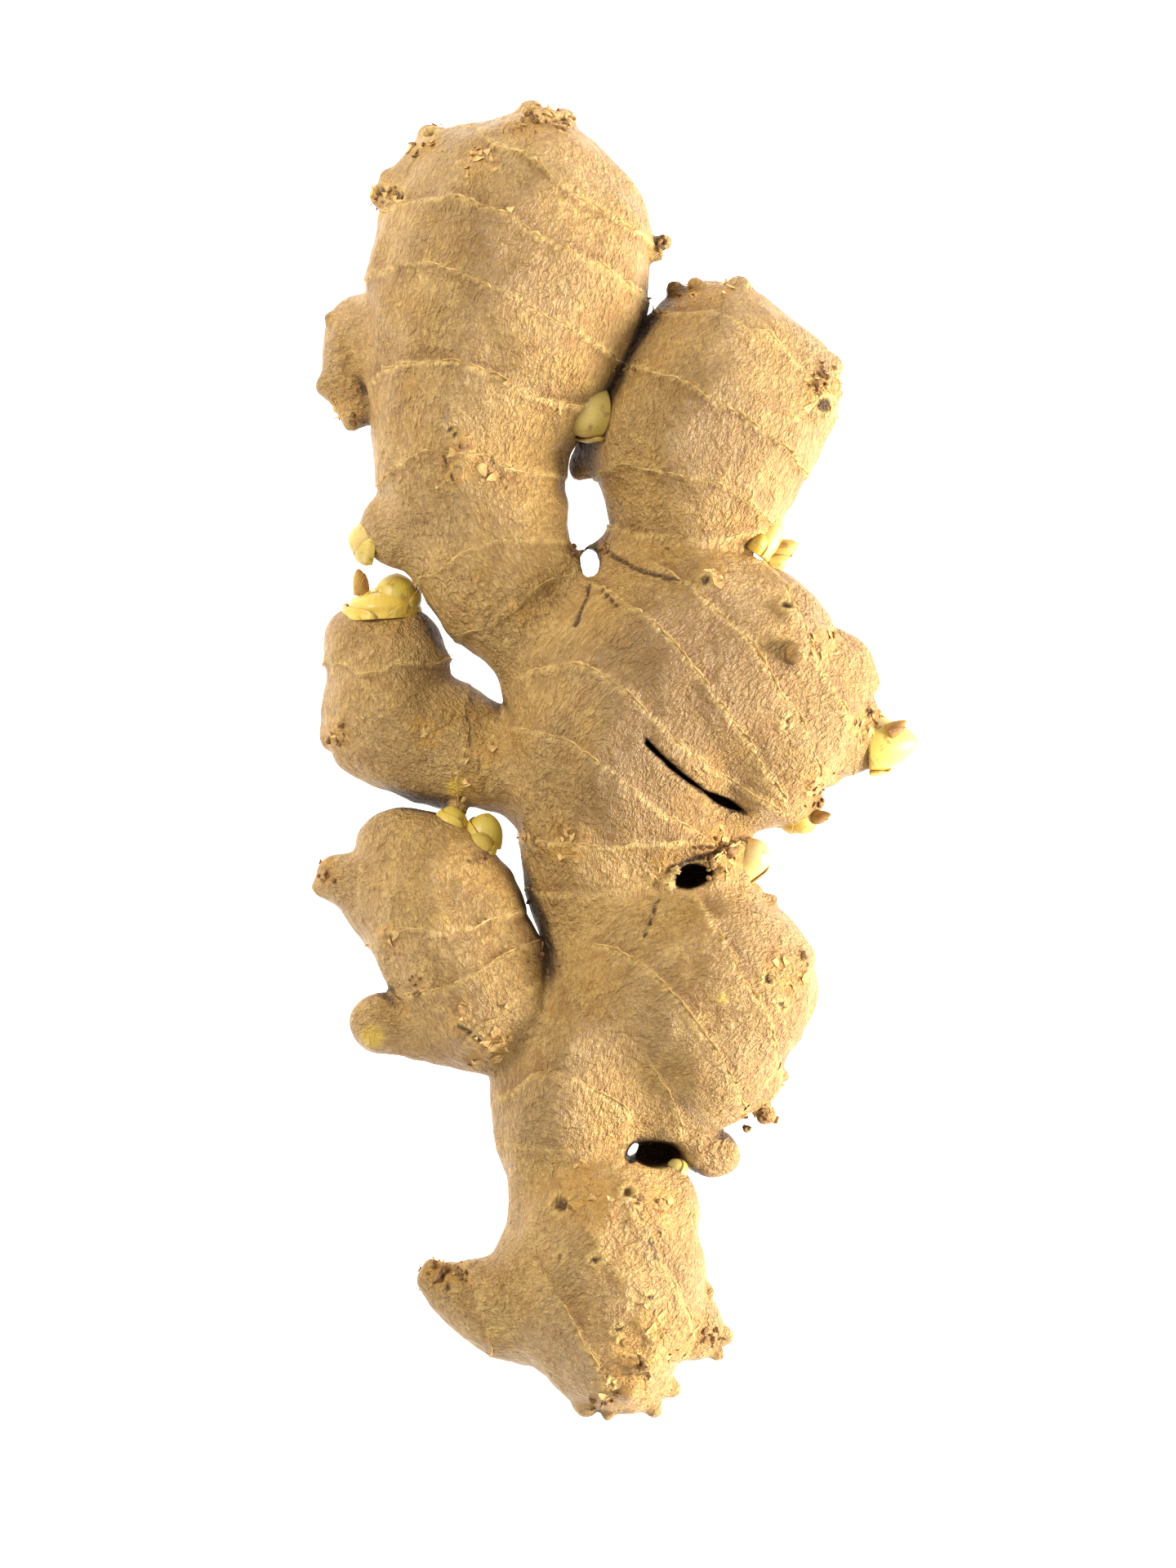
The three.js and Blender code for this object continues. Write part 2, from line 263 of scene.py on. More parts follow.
# The line that each finger grew along, beyond both of its ends. Wrinkles follow it and rings cross it.
grainLines = {
    "crown": [
        (-4.5, 7.5, 14), (-7, 14.5, 14), (-11, 20, 14), (-14.8, 25.5, 14), (-17.2, 31.5, 14),
        (-18.2, 38.5, 14), (-17, 46.5, 14), (-15, 54.5, 14), (-12.8, 63.5, 14), (-10.5, 73.5, 14),
        (-8.8, 81.5, 14),
    ],
    "crownKnob": [(-22, 48.5, 13), (-28, 50.5, 12), (-33, 51, 11.5), (-38, 51, 11)],
    "neckKnob": [(-20, 30, 14), (-26, 28.7, 14.4), (-32, 27.3, 14.6)],
    "spine": [
        (-6, -54.5, 11.2), (-7, -46.5, 11.6), (-6, -38.5, 11.9), (-3.8, -30.5, 12.1),
        (-2.2, -22.5, 12.2), (-2.2, -15.5, 12.6), (-1.8, -8.5, 13.2), (0.2, -1, 13.8), (4, 5.5, 14.4),
        (10, 11, 14.5), (17, 16, 14.2), (24, 20, 13.6), (30, 23, 13),
    ],
    "rightStub": [(19, 5.5, 13), (25, 4, 12.8), (32.2, 2.7, 12.4), (38, 3, 12)],
    "rightFinger": [
        (2, 16.5, 13.4), (4.5, 24.5, 13), (7.6, 31.5, 12.7), (10.2, 39, 12.5), (12.8, 46.5, 12.4),
        (15.5, 53.5, 12.4), (18, 60.5, 12.4),
    ],
    "leftFinger": [
        (-8, -3, 13), (-14.8, 0, 12.2), (-21, 3, 11.4), (-26, 7, 10.8), (-28.5, 12, 10.8),
        (-29.2, 17.5, 10.8), (-29.4, 23.5, 10.8),
    ],
    "lowerFinger": [
        (-7, -46.5, 12), (-5.4, -40.5, 12), (-1.5, -33.7, 12), (5, -28.3, 12), (12, -24.3, 11.8),
        (19, -21.1, 11.6), (26, -18, 11.4),
    ],
    "foot": [
        (-26, -61.3, 11.6), (-20, -65, 11), (-13, -66.9, 10.6), (-6, -65.3, 10.6), (0.5, -61.3, 10.6),
        (7, -57.5, 10.6), (13, -54, 10.6),
    ],
    "pinky": [(6, -44, 9.6), (9, -45.7, 9.6), (14, -48.3, 9.5)],
    "thumb": [
        (-10, -33.5, 13.8), (-15, -28.7, 14.4), (-19.4, -22.5, 14.7), (-22.6, -15.5, 14.6),
        (-24.2, -9.5, 14.4), (-25.2, -3.5, 14.2),
    ],
    "thumbUpperStub": [(-26, -16, 14.2), (-32, -14.5, 14), (-38, -13.5, 13.8)],
    "thumbLowerStub": [(-21, -31.5, 14.2), (-26.4, -32.1, 14.4), (-33, -31.8, 14.6)],
}

# Leaf scars that ring the fingers: (finger, strength, points along the ring on the front).
rings = [
    ("crown", 1, [
        (-17.5, 76.9), (-15.8, 75.3), (-13.5, 74.6), (-10.8, 73.2), (-8.5, 71.2), (-5.9, 69.2),
        (-3.2, 67.3), (-0.6, 65.6), (2.1, 64.3), (4.1, 62.9),
    ]),
    ("crown", 1, [
        (-29, 67.3), (-25.4, 68.1), (-21.1, 68.4), (-18.1, 67.6), (-15.1, 66.6), (-12.2, 65.3),
        (-8.8, 62.8), (-5.5, 61.5), (-2.2, 60), (0.8, 58), (4, 56.3),
    ]),
    ("crown", 1, [
        (-33, 58.3), (-31.1, 59), (-27.7, 59.8), (-24.1, 60.3), (-21.4, 59.6), (-17.8, 58.3),
        (-13.2, 56.1), (-10.2, 54.3), (-7.5, 53.2), (-5.5, 52), (-1.9, 49.7), (1, 48.3),
    ]),
    ("crown", 1.2, [
        (-33, 44.3), (-31.1, 46), (-28.7, 47.9), (-25.4, 48.4), (-22.1, 48.7), (-18.8, 48.2),
        (-15.5, 47), (-13.2, 46), (-10.5, 44.4), (-6.9, 43.7), (-4.5, 43.5),
    ]),
    ("crown", 0.8, [
        (-32, 32.5), (-29.7, 33.9), (-26.8, 36.2), (-24.2, 37.5), (-20.8, 37.5), (-17.1, 37.4),
        (-14.5, 36.1), (-11.8, 35.3), (-8.3, 35), (-5, 34.7),
    ]),
    ("crown", 0.8, [
        (-27, 21.3), (-24.2, 22.4), (-21.8, 23.6), (-18.9, 25.7), (-16.5, 26.5), (-14.2, 27.1),
        (-10.7, 27), (-7.1, 26.7), (-4.5, 26.7),
    ]),
    ("crown", 0.8, [
        (-21.5, 13.5), (-18.9, 15.6), (-15.4, 16.8), (-13.6, 18.3), (-11.3, 20.3), (-8.9, 21.8),
        (-6.3, 22.7), (-3.5, 23.5),
    ]),
    ("rightFinger", 0.9, [
        (3, 55), (4.6, 55), (8.7, 55), (12.5, 54.7), (15.5, 52.8), (17.5, 52.4), (19.9, 50.6),
        (21.9, 48.5), (23.7, 46.8), (26, 43.5),
    ]),
    ("rightFinger", 1.1, [
        (-1, 47.9), (1.1, 48), (3.7, 47.4), (7, 46.3), (9.6, 44.7), (12.5, 43.3), (14.9, 41.9),
        (17.5, 40), (20.2, 38.3), (21.3, 36.8), (23.5, 34),
    ]),
    ("rightFinger", 1.1, [
        (-5.5, 34.5), (-2.4, 35.3), (-0.4, 36.2), (2, 35.9), (5.2, 35.3), (7.8, 34.6), (10.8, 34.3),
        (13.1, 33.3), (15.5, 31.5), (16.9, 30.4), (19, 29),
    ]),
    ("rightFinger", 0.8, [
        (-4.5, 29.5), (-2.1, 28.9), (0.5, 28.4), (3.7, 27.7), (7.3, 27.3), (10.8, 27.3), (13.7, 27.4),
        (15.8, 28), (19, 28.7),
    ]),
    ("spine", 0.9, [
        (-16, 10), (-12, 10.7), (-6, 12), (0.3, 9), (6, 3.5), (11, -0.5), (17.5, -4.5), (20, -6),
    ]),
    ("spine", 1, [
        (-4.5, 22.3), (-1.6, 20.8), (4.1, 16.9), (7.9, 12.8), (12.4, 6.7), (16.2, 1.6), (18.5, -1.9),
        (20.5, -5),
    ]),
    ("spine", 1, [
        (4, 24.5), (7.9, 22), (11.8, 18.2), (15.9, 14.1), (19.4, 8.3), (21.6, 5.8), (23.2, 2),
        (24.2, -0.9), (24.5, -3.5),
    ]),
    ("spine", 0.9, [
        (14, 28), (16.5, 25.2), (19.1, 23.3), (21.3, 17.9), (23.9, 11.8), (26.7, 7.4), (28, 4.5),
    ]),
    ("spine", 0.8, [(-17, 5), (-14.5, 4.5), (-7.7, 3), (-2.2, 0.1), (3.3, -4.7), (9, -8.5), (12, -10.5)]),
    ("spine", 1, [(-17, -9.5), (-12, -9.1), (-7, -9.7), (-2, -9.9), (3, -9.5), (8, -9.5)]),
    ("spine", 0.7, [
        (-12, -15.3), (-8.9, -15.8), (-4.3, -16.2), (-0.1, -15.5), (5.2, -13.9), (7.5, -13.5),
    ]),
    ("lowerFinger", 1, [
        (-8, -21.5), (-5.8, -21.6), (-0.1, -22.7), (4.5, -26.2), (9.1, -31.1), (12.1, -35.7),
        (14, -39.2), (15.5, -43.5), (16, -46),
    ]),
    ("lowerFinger", 0.8, [
        (-7, -26.5), (-5.1, -27.3), (-1.3, -30), (3, -35.7), (6.8, -41.8), (7.5, -43.8), (8, -46.5),
    ]),
    ("lowerFinger", 1, [
        (6, -13.5), (8.7, -15.5), (10.6, -18.9), (12.9, -22), (14.4, -25.4), (17.5, -30), (19.4, -36.9),
        (20, -40.5),
    ]),
    ("spine", 0.9, [
        (-15, -41), (-13.1, -39.6), (-10.4, -38), (-7, -37.8), (-2, -40.3), (0.7, -42.2), (2.2, -44.5),
        (3, -46.5),
    ]),
    ("spine", 0.5, [(-16.5, -46.3), (-12, -46.7), (-7, -47.2), (-2, -47.2), (3, -46.5)]),
    ("foot", 0.8, [(-6, -53.5), (-4.4, -55.9), (-1.5, -61), (2, -67.7), (4, -72.5)]),
    ("foot", 0.8, [(1.5, -53.5), (3.2, -56.8), (5.5, -61.6), (8, -66.1), (9, -69)]),
    ("foot", 0.8, [(-10.5, -60.5), (-7.6, -65.1), (-5.7, -68.3), (-3.1, -72.8), (-1.5, -77.5)]),
    ("foot", 0.7, [(-19, -61), (-18.1, -64.8), (-16.2, -69.3), (-15.5, -73.5)]),
    ("leftFinger", 0.9, [
        (-37.5, 12.7), (-33.2, 11.8), (-31.5, 10.6), (-29.2, 11.2), (-27.4, 12.1), (-23.6, 12.1),
        (-21.2, 12.7), (-18.5, 13.5),
    ]),
    ("leftFinger", 0.8, [(-18.5, 9), (-19, 7.1), (-18.7, 4.2), (-18.6, 1.8), (-19.5, -0.5), (-20, -5.5)]),
    ("leftFinger", 0.6, [(-14, 6.5), (-16, 3), (-16.8, -0.5), (-16, -4)]),
    ("thumb", 0.8, [
        (-33.5, -22.5), (-31.9, -21.8), (-29.4, -22.7), (-28.2, -21), (-26.3, -20.1), (-23.8, -20.3),
        (-20, -20.5), (-16, -19.3), (-12, -18.3),
    ]),
    ("thumb", 0.8, [
        (-28, -28.3), (-24, -27.6), (-21.2, -27), (-18.7, -25.6), (-17, -25.2), (-15.1, -23.5),
        (-10, -21.5),
    ]),
    ("thumb", 0.7, [
        (-19, -34), (-16.7, -31.5), (-14.5, -30.8), (-12.8, -28.8), (-11.1, -27.2), (-8, -26),
    ]),
    ("thumb", 0.6, [(-20, -31.5), (-17.6, -32.5), (-16.5, -33.6), (-15.6, -35.6), (-15.5, -38.5)]),
    ("thumbLowerStub", 0.7, [
        (-27.2, -26.5), (-26.9, -27.4), (-25.2, -30.8), (-24.6, -32.8), (-24.8, -36.5),
    ]),
    ("thumbUpperStub", 0.5, [(-32, -11), (-31.6, -13.5), (-32, -16), (-31.4, -18.5)]),
    ("rightStub", 0.7, [(31.5, 6.5), (32, 4.5), (32.3, 2.5), (32, -0.5)]),
    ("rightStub", 0.4, [(28, 7.7), (28.6, 4.5), (29, 1.5), (28.6, -2)]),
    ("pinky", 0.3, [(9.6, -42.5), (10.2, -45.5), (10, -48), (9, -50.5)]),
    ("spine", 1.8, [(5.2, -14.5), (7.5, -13.1), (10.2, -11.9), (12.6, -10.7), (14.8, -9.7)]),
    ("lowerFinger", 1.3, [(7.8, -15.3), (9.8, -15.1), (12, -13.9), (14, -13.1)]),
]

# Where roots broke off: (x, y, radius).
scars = [
    (-7.3, -53.6, 1.2), (0.9, -52, 1), (-3.1, -60.3, 0.8), (-7.4, -60, 0.6), (-0.4, -68.8, 0.7),
    (3.6, -64.9, 0.7), (2.4, -73.1, 0.8), (17.9, -26.2, 0.7), (19.6, -29.2, 0.7), (20.1, 5.1, 0.7),
    (20.1, 19.1, 0.8), (10.3, 22.3, 0.9), (-27.3, 69, 1.1), (-29, 69.7, 0.9), (-12, 54, 0.3),
    (24.8, 43.7, 1.3), (-13.8, 14.5, 0.3), (-11, 79.3, 0.8), (-7, 78.5, 0.8), (-23.2, 76.7, 0.8),
    (5.5, 63.7, 0.7),
]

# Places where the skin is rough and flaking: (x, y, radius).
patches = [
    (-19.2, 36.7, 3.6), (-24.5, 3.8, 2.2), (-6, -9.5, 3.6), (-16, -35, 2.6), (-28, -21.5, 2),
    (-12, -8.7, 1.6), (-4, -53, 4.2), (3, -70.5, 4.6), (0.5, -76.5, 4), (-10.5, 78.5, 4.4),
    (-23.5, 76, 2.6), (-29, 69, 3), (-34.5, 43.5, 2.6), (24.8, 45, 3), (10, 58.3, 3.4), (20, -25.5, 3),
    (16, -43.5, 2.6), (-17, 1.5, 1.8), (-12, 19, 2.4), (6, -12.5, 3), (12, -10.5, 3), (24, -2.5, 2.4),
    (30, 4.5, 2.2), (-22, -62, 3), (9, -70.5, 3), (4, -54.5, 3), (-19, -2.5, 2), (-35, 3.5, 2.2),
    (-36, -13.5, 2), (-20, -31.5, 2), (-17, 73.5, 2.6), (11, 23.5, 1.8), (25, 14.5, 2),
]

skin = {
    "step": 0.575,
    "coarse": 4,
    "band": 2.6,
    "swell": 0.4,
    "pulls": 2,
    "lip": 0.4,
    "nubMelt": 1.1,
}


def strungBalls(balls, spacing=1.0):
    knots = np.array(balls, float)
    padded = np.vstack([2 * knots[0] - knots[1], knots, 2 * knots[-1] - knots[-2]])
    rows = []
    for i in range(len(knots) - 1):
        a, b, c, d = padded[i : i + 4]
        count = max(1, math.ceil(np.linalg.norm((c - b)[:3]) / spacing))
        for t in np.arange(count) / count:
            cubic = 2 * b + (c - a) * t + (2 * a - 5 * b + 4 * c - d) * t**2 + (3 * b - a - 3 * c + d) * t**3
            rows.append(np.append(cubic / 2, (i + t) / (len(knots) - 1)))
    rows.append(np.append(knots[-1], 1.0))
    return np.array(rows, np.float32)


strings = {name: strungBalls(finger["balls"]) for name, finger in fingers.items()}


def fingerDistance(points, name):
    depth = fingers[name]["depth"]
    nearest = np.full(len(points), 1e3, np.float32)
    share = np.zeros(len(points), np.float32)
    for x, y, z, radius, place in strings[name]:
        gap = np.sqrt((points[:, 0] - x) ** 2 + (points[:, 1] - y) ** 2 + ((points[:, 2] - z) / depth) ** 2)
        gap -= radius
        closer = gap < nearest
        nearest = np.where(closer, gap, nearest)
        share = np.where(closer, place, share)
    return nearest, share


def unevenness(p):
    broad = np.sin(0.31 * (p[:, 0] + 0.3) + 1) * np.sin(0.27 * p[:, 1] + 0.12 * p[:, 2] + 0.4)
    narrow = np.sin(0.52 * p[:, 1] - 0.35 * p[:, 2] + 2) * np.sin(0.44 * p[:, 0] + 0.5 * p[:, 2])
    return skin["swell"] * (broad + 0.6 * narrow)


def smoothed(low, high, value):
    t = np.clip((value - low) / (high - low), 0, 1)
    return t * t * (3 - 2 * t)


def rootDistance(points):
    total = None
    for name, finger in fingers.items():
        gap, share = fingerDistance(points, name)
        if total is None:
            total = gap
            continue
        atRoot, atTip = finger["melt"]
        melt = atRoot + (atTip - atRoot) * smoothed(0.1, 0.6, share)
        overlap = np.maximum(melt - np.abs(total - gap), 0) / melt
        total = np.minimum(total, gap) - overlap**2 * melt / 4
    nearest = np.full(len(points), 1e3, np.float32)
    for x, y, z, radius in nubs:
        gap = np.sqrt((points[:, 0] - x) ** 2 + (points[:, 1] - y) ** 2 + (points[:, 2] - z) ** 2)
        nearest = np.minimum(nearest, gap - radius)
    melt = skin["nubMelt"]
    overlap = np.maximum(melt - np.abs(total - nearest), 0) / melt
    total = np.minimum(total, nearest) - overlap**2 * melt / 4
    return total - unevenness(points)


# Openings that go into the flesh or right through.
hollows = [
    {"centre": (8.8, -13.7, 19.5), "radii": (2.7, 1.4, 8), "turn": 18},
    {"centre": (1.6, -47.5, 11), "radii": (0.6, 1.2, 30), "turn": -35},
    {"centre": (4.6, -47.9, 13), "radii": (3.2, 1.5, 7), "turn": -8},
    {"centre": (-3.8, 24.5, 13), "radii": (1.1, 1.7, 30), "turn": 0},
    {"centre": (-4.6, 30.7, 13), "radii": (1.8, 4.6, 30), "turn": -6},
]
slit = {
    "line": [(2.6, 3.1), (15.3, -5.9)],
    "halfWidth": 0.43,
    "bow": 0.95,
    "floor": 12.5,
}


def cutDistance(points):
    nearest = np.full(len(points), 5.0, np.float32)
    for cut in hollows:
        p = points - np.array(cut["centre"], np.float32)
        turn = math.radians(cut["turn"])
        along = p[:, 0] * math.cos(turn) + p[:, 1] * math.sin(turn)
        across = p[:, 1] * math.cos(turn) - p[:, 0] * math.sin(turn)
        rx, ry, rz = cut["radii"]
        size = np.sqrt((along / rx) ** 2 + (across / ry) ** 2 + (p[:, 2] / rz) ** 2) + 1e-6
        nearest = np.minimum(nearest, (size - 1) * min(rx, ry))
    line = np.array(slit["line"], np.float32)
    start, end = line[0], line[-1]
    reach = end - start
    length = float(np.hypot(*reach))
    t = ((points[:, :2] - start) @ reach) / length**2
    side = (points[:, 0] - start[0]) * reach[1] / length - (points[:, 1] - start[1]) * reach[0] / length
    side = side - slit["bow"] * (1 - (2 * t - 1) ** 2)
    width = slit["halfWidth"] * np.sqrt(np.maximum(1 - np.abs(2 * t - 1) ** 8, 0))
    inLine = np.maximum(np.abs(side) - width, np.maximum(-t, t - 1) * length)
    nearest = np.minimum(nearest, np.maximum(inLine, slit["floor"] - points[:, 2]))
    return nearest


def carvedDistance(points):
    solid = rootDistance(points)
    cut = -cutDistance(points)
    round_ = skin["lip"]
    overlap = np.maximum(round_ - np.abs(solid - cut), 0) / round_
    return np.maximum(solid, cut) + overlap**2 * round_ / 4


def stretched(values, axis, times):
    count = values.shape[axis]
    place = np.arange((count - 1) * times + 1) / times
    first = np.minimum(place.astype(int), count - 2)
    shape = [1, 1, 1]
    shape[axis] = len(place)
    share = (place - first).reshape(shape).astype(np.float32)
    return np.take(values, first, axis) * (1 - share) + np.take(values, first + 1, axis) * share


def gridPoints(low, counts, step):
    axes = [low[a] + step * np.arange(counts[a]) for a in range(3)]
    return np.stack(np.meshgrid(*axes, indexing="ij"), -1).reshape(-1, 3).astype(np.float32)


def sampledGrid(low, high, step, coarse, band):
    wide = step * coarse
    coarseCounts = [math.ceil((high[a] - low[a]) / wide) + 1 for a in range(3)]
    values = rootDistance(gridPoints(low, coarseCounts, wide)).reshape(coarseCounts)
    for axis in range(3):
        values = stretched(values, axis, coarse)
    points = gridPoints(low, values.shape, step)
    flat = np.clip(values.reshape(-1), -band, band)
    near = np.abs(flat) < band * 0.9
    cut = cutDistance(points)
    near |= cut < step
    flat[near] = carvedDistance(points[near])
    return flat.reshape(values.shape)


def withoutPinches(values):
    grid = values.copy()
    for _ in range(12):
        changed = 0
        for axis in range(3):
            u, v = [a for a in range(3) if a != axis]
            g = np.moveaxis(grid, (u, v, axis), (0, 1, 2))
            a, b, c, d = g[:-1, :-1], g[1:, :-1], g[1:, 1:], g[:-1, 1:]
            inside = [x < 0 for x in (a, b, c, d)]
            pinched = (inside[0] & inside[2] & ~inside[1] & ~inside[3]) | (
                inside[1] & inside[3] & ~inside[0] & ~inside[2]
            )
            changed += int(pinched.sum())
            for i, j, k in np.argwhere(pinched):
                corners = [(i, j, k), (i + 1, j, k), (i + 1, j + 1, k), (i, j + 1, k)]
                outside = [q for q in corners if g[q] >= 0]
                if outside:
                    g[min(outside, key=lambda q: g[q])] = -0.02
        if not changed:
            break
    return grid


def quadsAcross(axis, cross, startInside, number, cells):
    u, v = (axis + 1) % 3, (axis + 2) % 3
    spots = np.argwhere(cross)
    keep = (spots[:, u] > 0) & (spots[:, v] > 0) & (spots[:, u] < cells[u]) & (spots[:, v] < cells[v])
    spots = spots[keep]
    ring = []
    for du, dv in ((-1, -1), (0, -1), (0, 0), (-1, 0)):
        place = spots.copy()
        place[:, u] += du
        place[:, v] += dv
        ring.append(number[tuple(place.T)])
    ring = np.stack(ring, 1)
    outward = startInside[tuple(spots.T)]
    ring[~outward] = ring[~outward][:, ::-1]
    return ring


# One point in every grid cell that the surface passes through, and a face across every edge it crosses.
def netOver(values, low, step):
    inside = values < 0
    cells = tuple(n - 1 for n in values.shape)
    total = np.zeros(cells + (3,), np.float32)
    count = np.zeros(cells, np.int32)
    crossings = []
    for axis in range(3):
        here = [slice(None)] * 3
        there = [slice(None)] * 3
        here[axis], there[axis] = slice(0, -1), slice(1, None)
        a, b = values[tuple(here)], values[tuple(there)]
        cross = inside[tuple(here)] != inside[tuple(there)]
        share = np.where(cross, a / np.where(cross, a - b, 1), 0)
        crossings.append((cross, inside[tuple(here)]))
        u, v = [c for c in range(3) if c != axis]
        for du in (0, 1):
            for dv in (0, 1):
                cut = [slice(None)] * 3
                cut[u] = slice(du, du + cells[u])
                cut[v] = slice(dv, dv + cells[v])
                hit = cross[tuple(cut)]
                count += hit
                total[..., axis] += share[tuple(cut)]
                total[..., u] += hit * du
                total[..., v] += hit * dv
    used = count > 0
    number = np.full(cells, -1, np.int64)
    number[used] = np.arange(int(used.sum()))
    at = np.argwhere(used).astype(np.float32) + total[used] / count[used][:, None]
    vertices = at * step + np.array(low, np.float32)
    quads = [quadsAcross(axis, *crossings[axis], number, cells) for axis in range(3)]
    return vertices, np.vstack(quads)


def slopeOf(distance, points, reach=0.12):
    columns = []
    for axis in range(3):
        step = np.zeros(3, np.float32)
        step[axis] = reach
        columns.append((distance(points + step) - distance(points - step)) / (2 * reach))
    return np.stack(columns, 1)


def latticeValue(cells, seed):
    mixedUp = cells[:, 0] * 73856093 ^ cells[:, 1] * 19349663 ^ cells[:, 2] * 83492791 ^ seed * 40503
    mixedUp = (mixedUp ^ (mixedUp >> 13)) * 1274126177 & 0x7FFFFFFF
    return ((mixedUp ^ (mixedUp >> 16)) & 0xFFFF) / 32767.5 - 1


def noiseAt(points, size, seed):
    p = points / size
    cell = np.floor(p).astype(np.int64)
    f = p - cell
    f = f * f * (3 - 2 * f)
    total = np.zeros(len(points))
    for corner in np.ndindex(2, 2, 2):
        weight = np.prod([f[:, a] if corner[a] else 1 - f[:, a] for a in range(3)], axis=0)
        total += weight * latticeValue(cell + np.array(corner), seed)
    return total


def unit(vectors):
    return vectors / np.maximum(np.linalg.norm(vectors, axis=-1, keepdims=True), 1e-9)


def grainFrame(points):
    line = strungBalls([(*p, 0) for p in points], 0.5)[:, :3].astype(float)
    along = unit(np.gradient(line, axis=0))
    side = np.zeros_like(line)
    side[0] = unit(np.cross(along[0], (0, 0, 1)))
    for i in range(1, len(line)):
        side[i] = unit(side[i - 1] - along[i] * np.dot(side[i - 1], along[i]))
    place = np.append(0, np.cumsum(np.linalg.norm(np.diff(line, axis=0), axis=1)))
    return {"line": line, "along": along, "side": side, "lift": np.cross(along, side), "place": place}


frames = {name: grainFrame(points) for name, points in grainLines.items()}


def grainPlace(points, name):
    f = frames[name]
    nearest = np.zeros(len(points), int)
    best = np.full(len(points), 1e9)
    for i, spot in enumerate(f["line"]):
        gap = ((points - spot) ** 2).sum(1)
        closer = gap < best
        best[closer] = gap[closer]
        nearest[closer] = i
    offset = points - f["line"][nearest]
    across = (offset * f["side"][nearest]).sum(1)
    up = (offset * f["lift"][nearest]).sum(1)
    along = f["place"][nearest] + (offset * f["along"][nearest]).sum(1)
    return np.stack([across, up, along], 1), f["along"][nearest]


evenFingers = ("spine", "crownKnob", "neckKnob", "thumbUpperStub", "thumbLowerStub", "pinky")


def grainOf(points):
    names = list(grainLines)
    gaps = np.full((len(names), len(points)), 1e3)
    for name, finger in fingers.items():
        row = names.index(finger["grain"])
        gaps[row] = np.minimum(gaps[row], fingerDistance(points, name)[0])
    first = np.argmin(gaps, axis=0)
    ordered = np.sort(gaps, axis=0)
    apart = ordered[1] - ordered[0]
    places = np.zeros((2, len(points), 3))
    axis = np.zeros((len(points), 3))
    layerGap = []
    # Neighbouring fingers sit in different layers, so that their wrinkles can fade into each other.
    for layer in (0, 1):
        rows = [i for i, name in enumerate(names) if (name in evenFingers) == (layer == 0)]
        chosen = np.array(rows)[np.argmin(gaps[rows], axis=0)]
        layerGap.append(gaps[rows].min(axis=0))
        for row in rows:
            mine = chosen == row
            if mine.any():
                place, along = grainPlace(points[mine], names[row])
                places[layer][mine] = place + (row * 31.0, 0, 0)
                leading = first[mine] == row
                axis[np.flatnonzero(mine)[leading]] = along[leading]
    blend = smoothed(-2.0, 2.0, layerGap[0] - layerGap[1])
    return first, apart, places[0], places[1], blend, axis


def ringGap(points, trace):
    line = strungBalls([(x, y, 0, 0) for x, y in trace], 0.8)[:, :2].astype(float)
    behind = np.maximum(13.5 - points[:, 2], 0)
    q = points[:, :2] + np.stack([0.10 * behind, 0.16 * behind], 1)
    best = np.full(len(points), 1e9)
    side = np.zeros(len(points))
    within = np.zeros(len(points), bool)
    for i in range(len(line) - 1):
        a, reach = line[i], line[i + 1] - line[i]
        t = ((q - a) @ reach) / (reach @ reach)
        inner = np.clip(t, 0, 1)
        gap = np.hypot(*(q - a - inner[:, None] * reach).T)
        closer = gap < best
        best[closer] = gap[closer]
        turned = reach[0] * (q[:, 1] - a[1]) - reach[1] * (q[:, 0] - a[0])
        side[closer] = np.sign(turned)[closer]
        open_ = (t < 0) & (i == 0) | (t > 1) & (i == len(line) - 2)
        within[closer] = ~open_[closer]
    return best * side, within


print("skin: shaping")
low = np.array([-40.5, -83.0, -0.9])
high = np.array([41.0, 83.0, 31.0])
grid = sampledGrid(low, high, skin["step"], skin["coarse"], skin["band"])
vertices, quads = netOver(withoutPinches(grid), low, skin["step"])
for _ in range(skin["pulls"]):
    slope = slopeOf(carvedDistance, vertices)
    size = np.maximum((slope**2).sum(1), 1)
    move = -slope * (carvedDistance(vertices) / size)[:, None]
    length = np.linalg.norm(move, axis=1, keepdims=True)
    vertices = vertices + move * np.minimum(1, 0.25 / np.maximum(length, 1e-9))
normals = unit(slopeOf(carvedDistance, vertices))
print("skin:", len(vertices), "points,", len(quads), "quads")

print("skin: rings, scars and wear")
finger, apart, grainA, grainB, grainMix, fingerAxis = grainOf(vertices)
groupNames = list(grainLines)
inside = rootDistance(vertices)
hollow = smoothed(0.25, 1.1, -inside)
# Painted shade: how closed-in the skin is around each point. The colour is darkened by this share in
# creases, and below also in scar pits and cracks.
openNear = np.clip(carvedDistance(vertices + normals * 1.4) / 1.4, -0.2, 1.1)
openFar = np.clip(carvedDistance(vertices + normals * 4.0) / 4.0, -0.2, 1.1)
creaseShade = np.clip(1 - (0.55 * openNear + 0.45 * openFar), 0, 1)
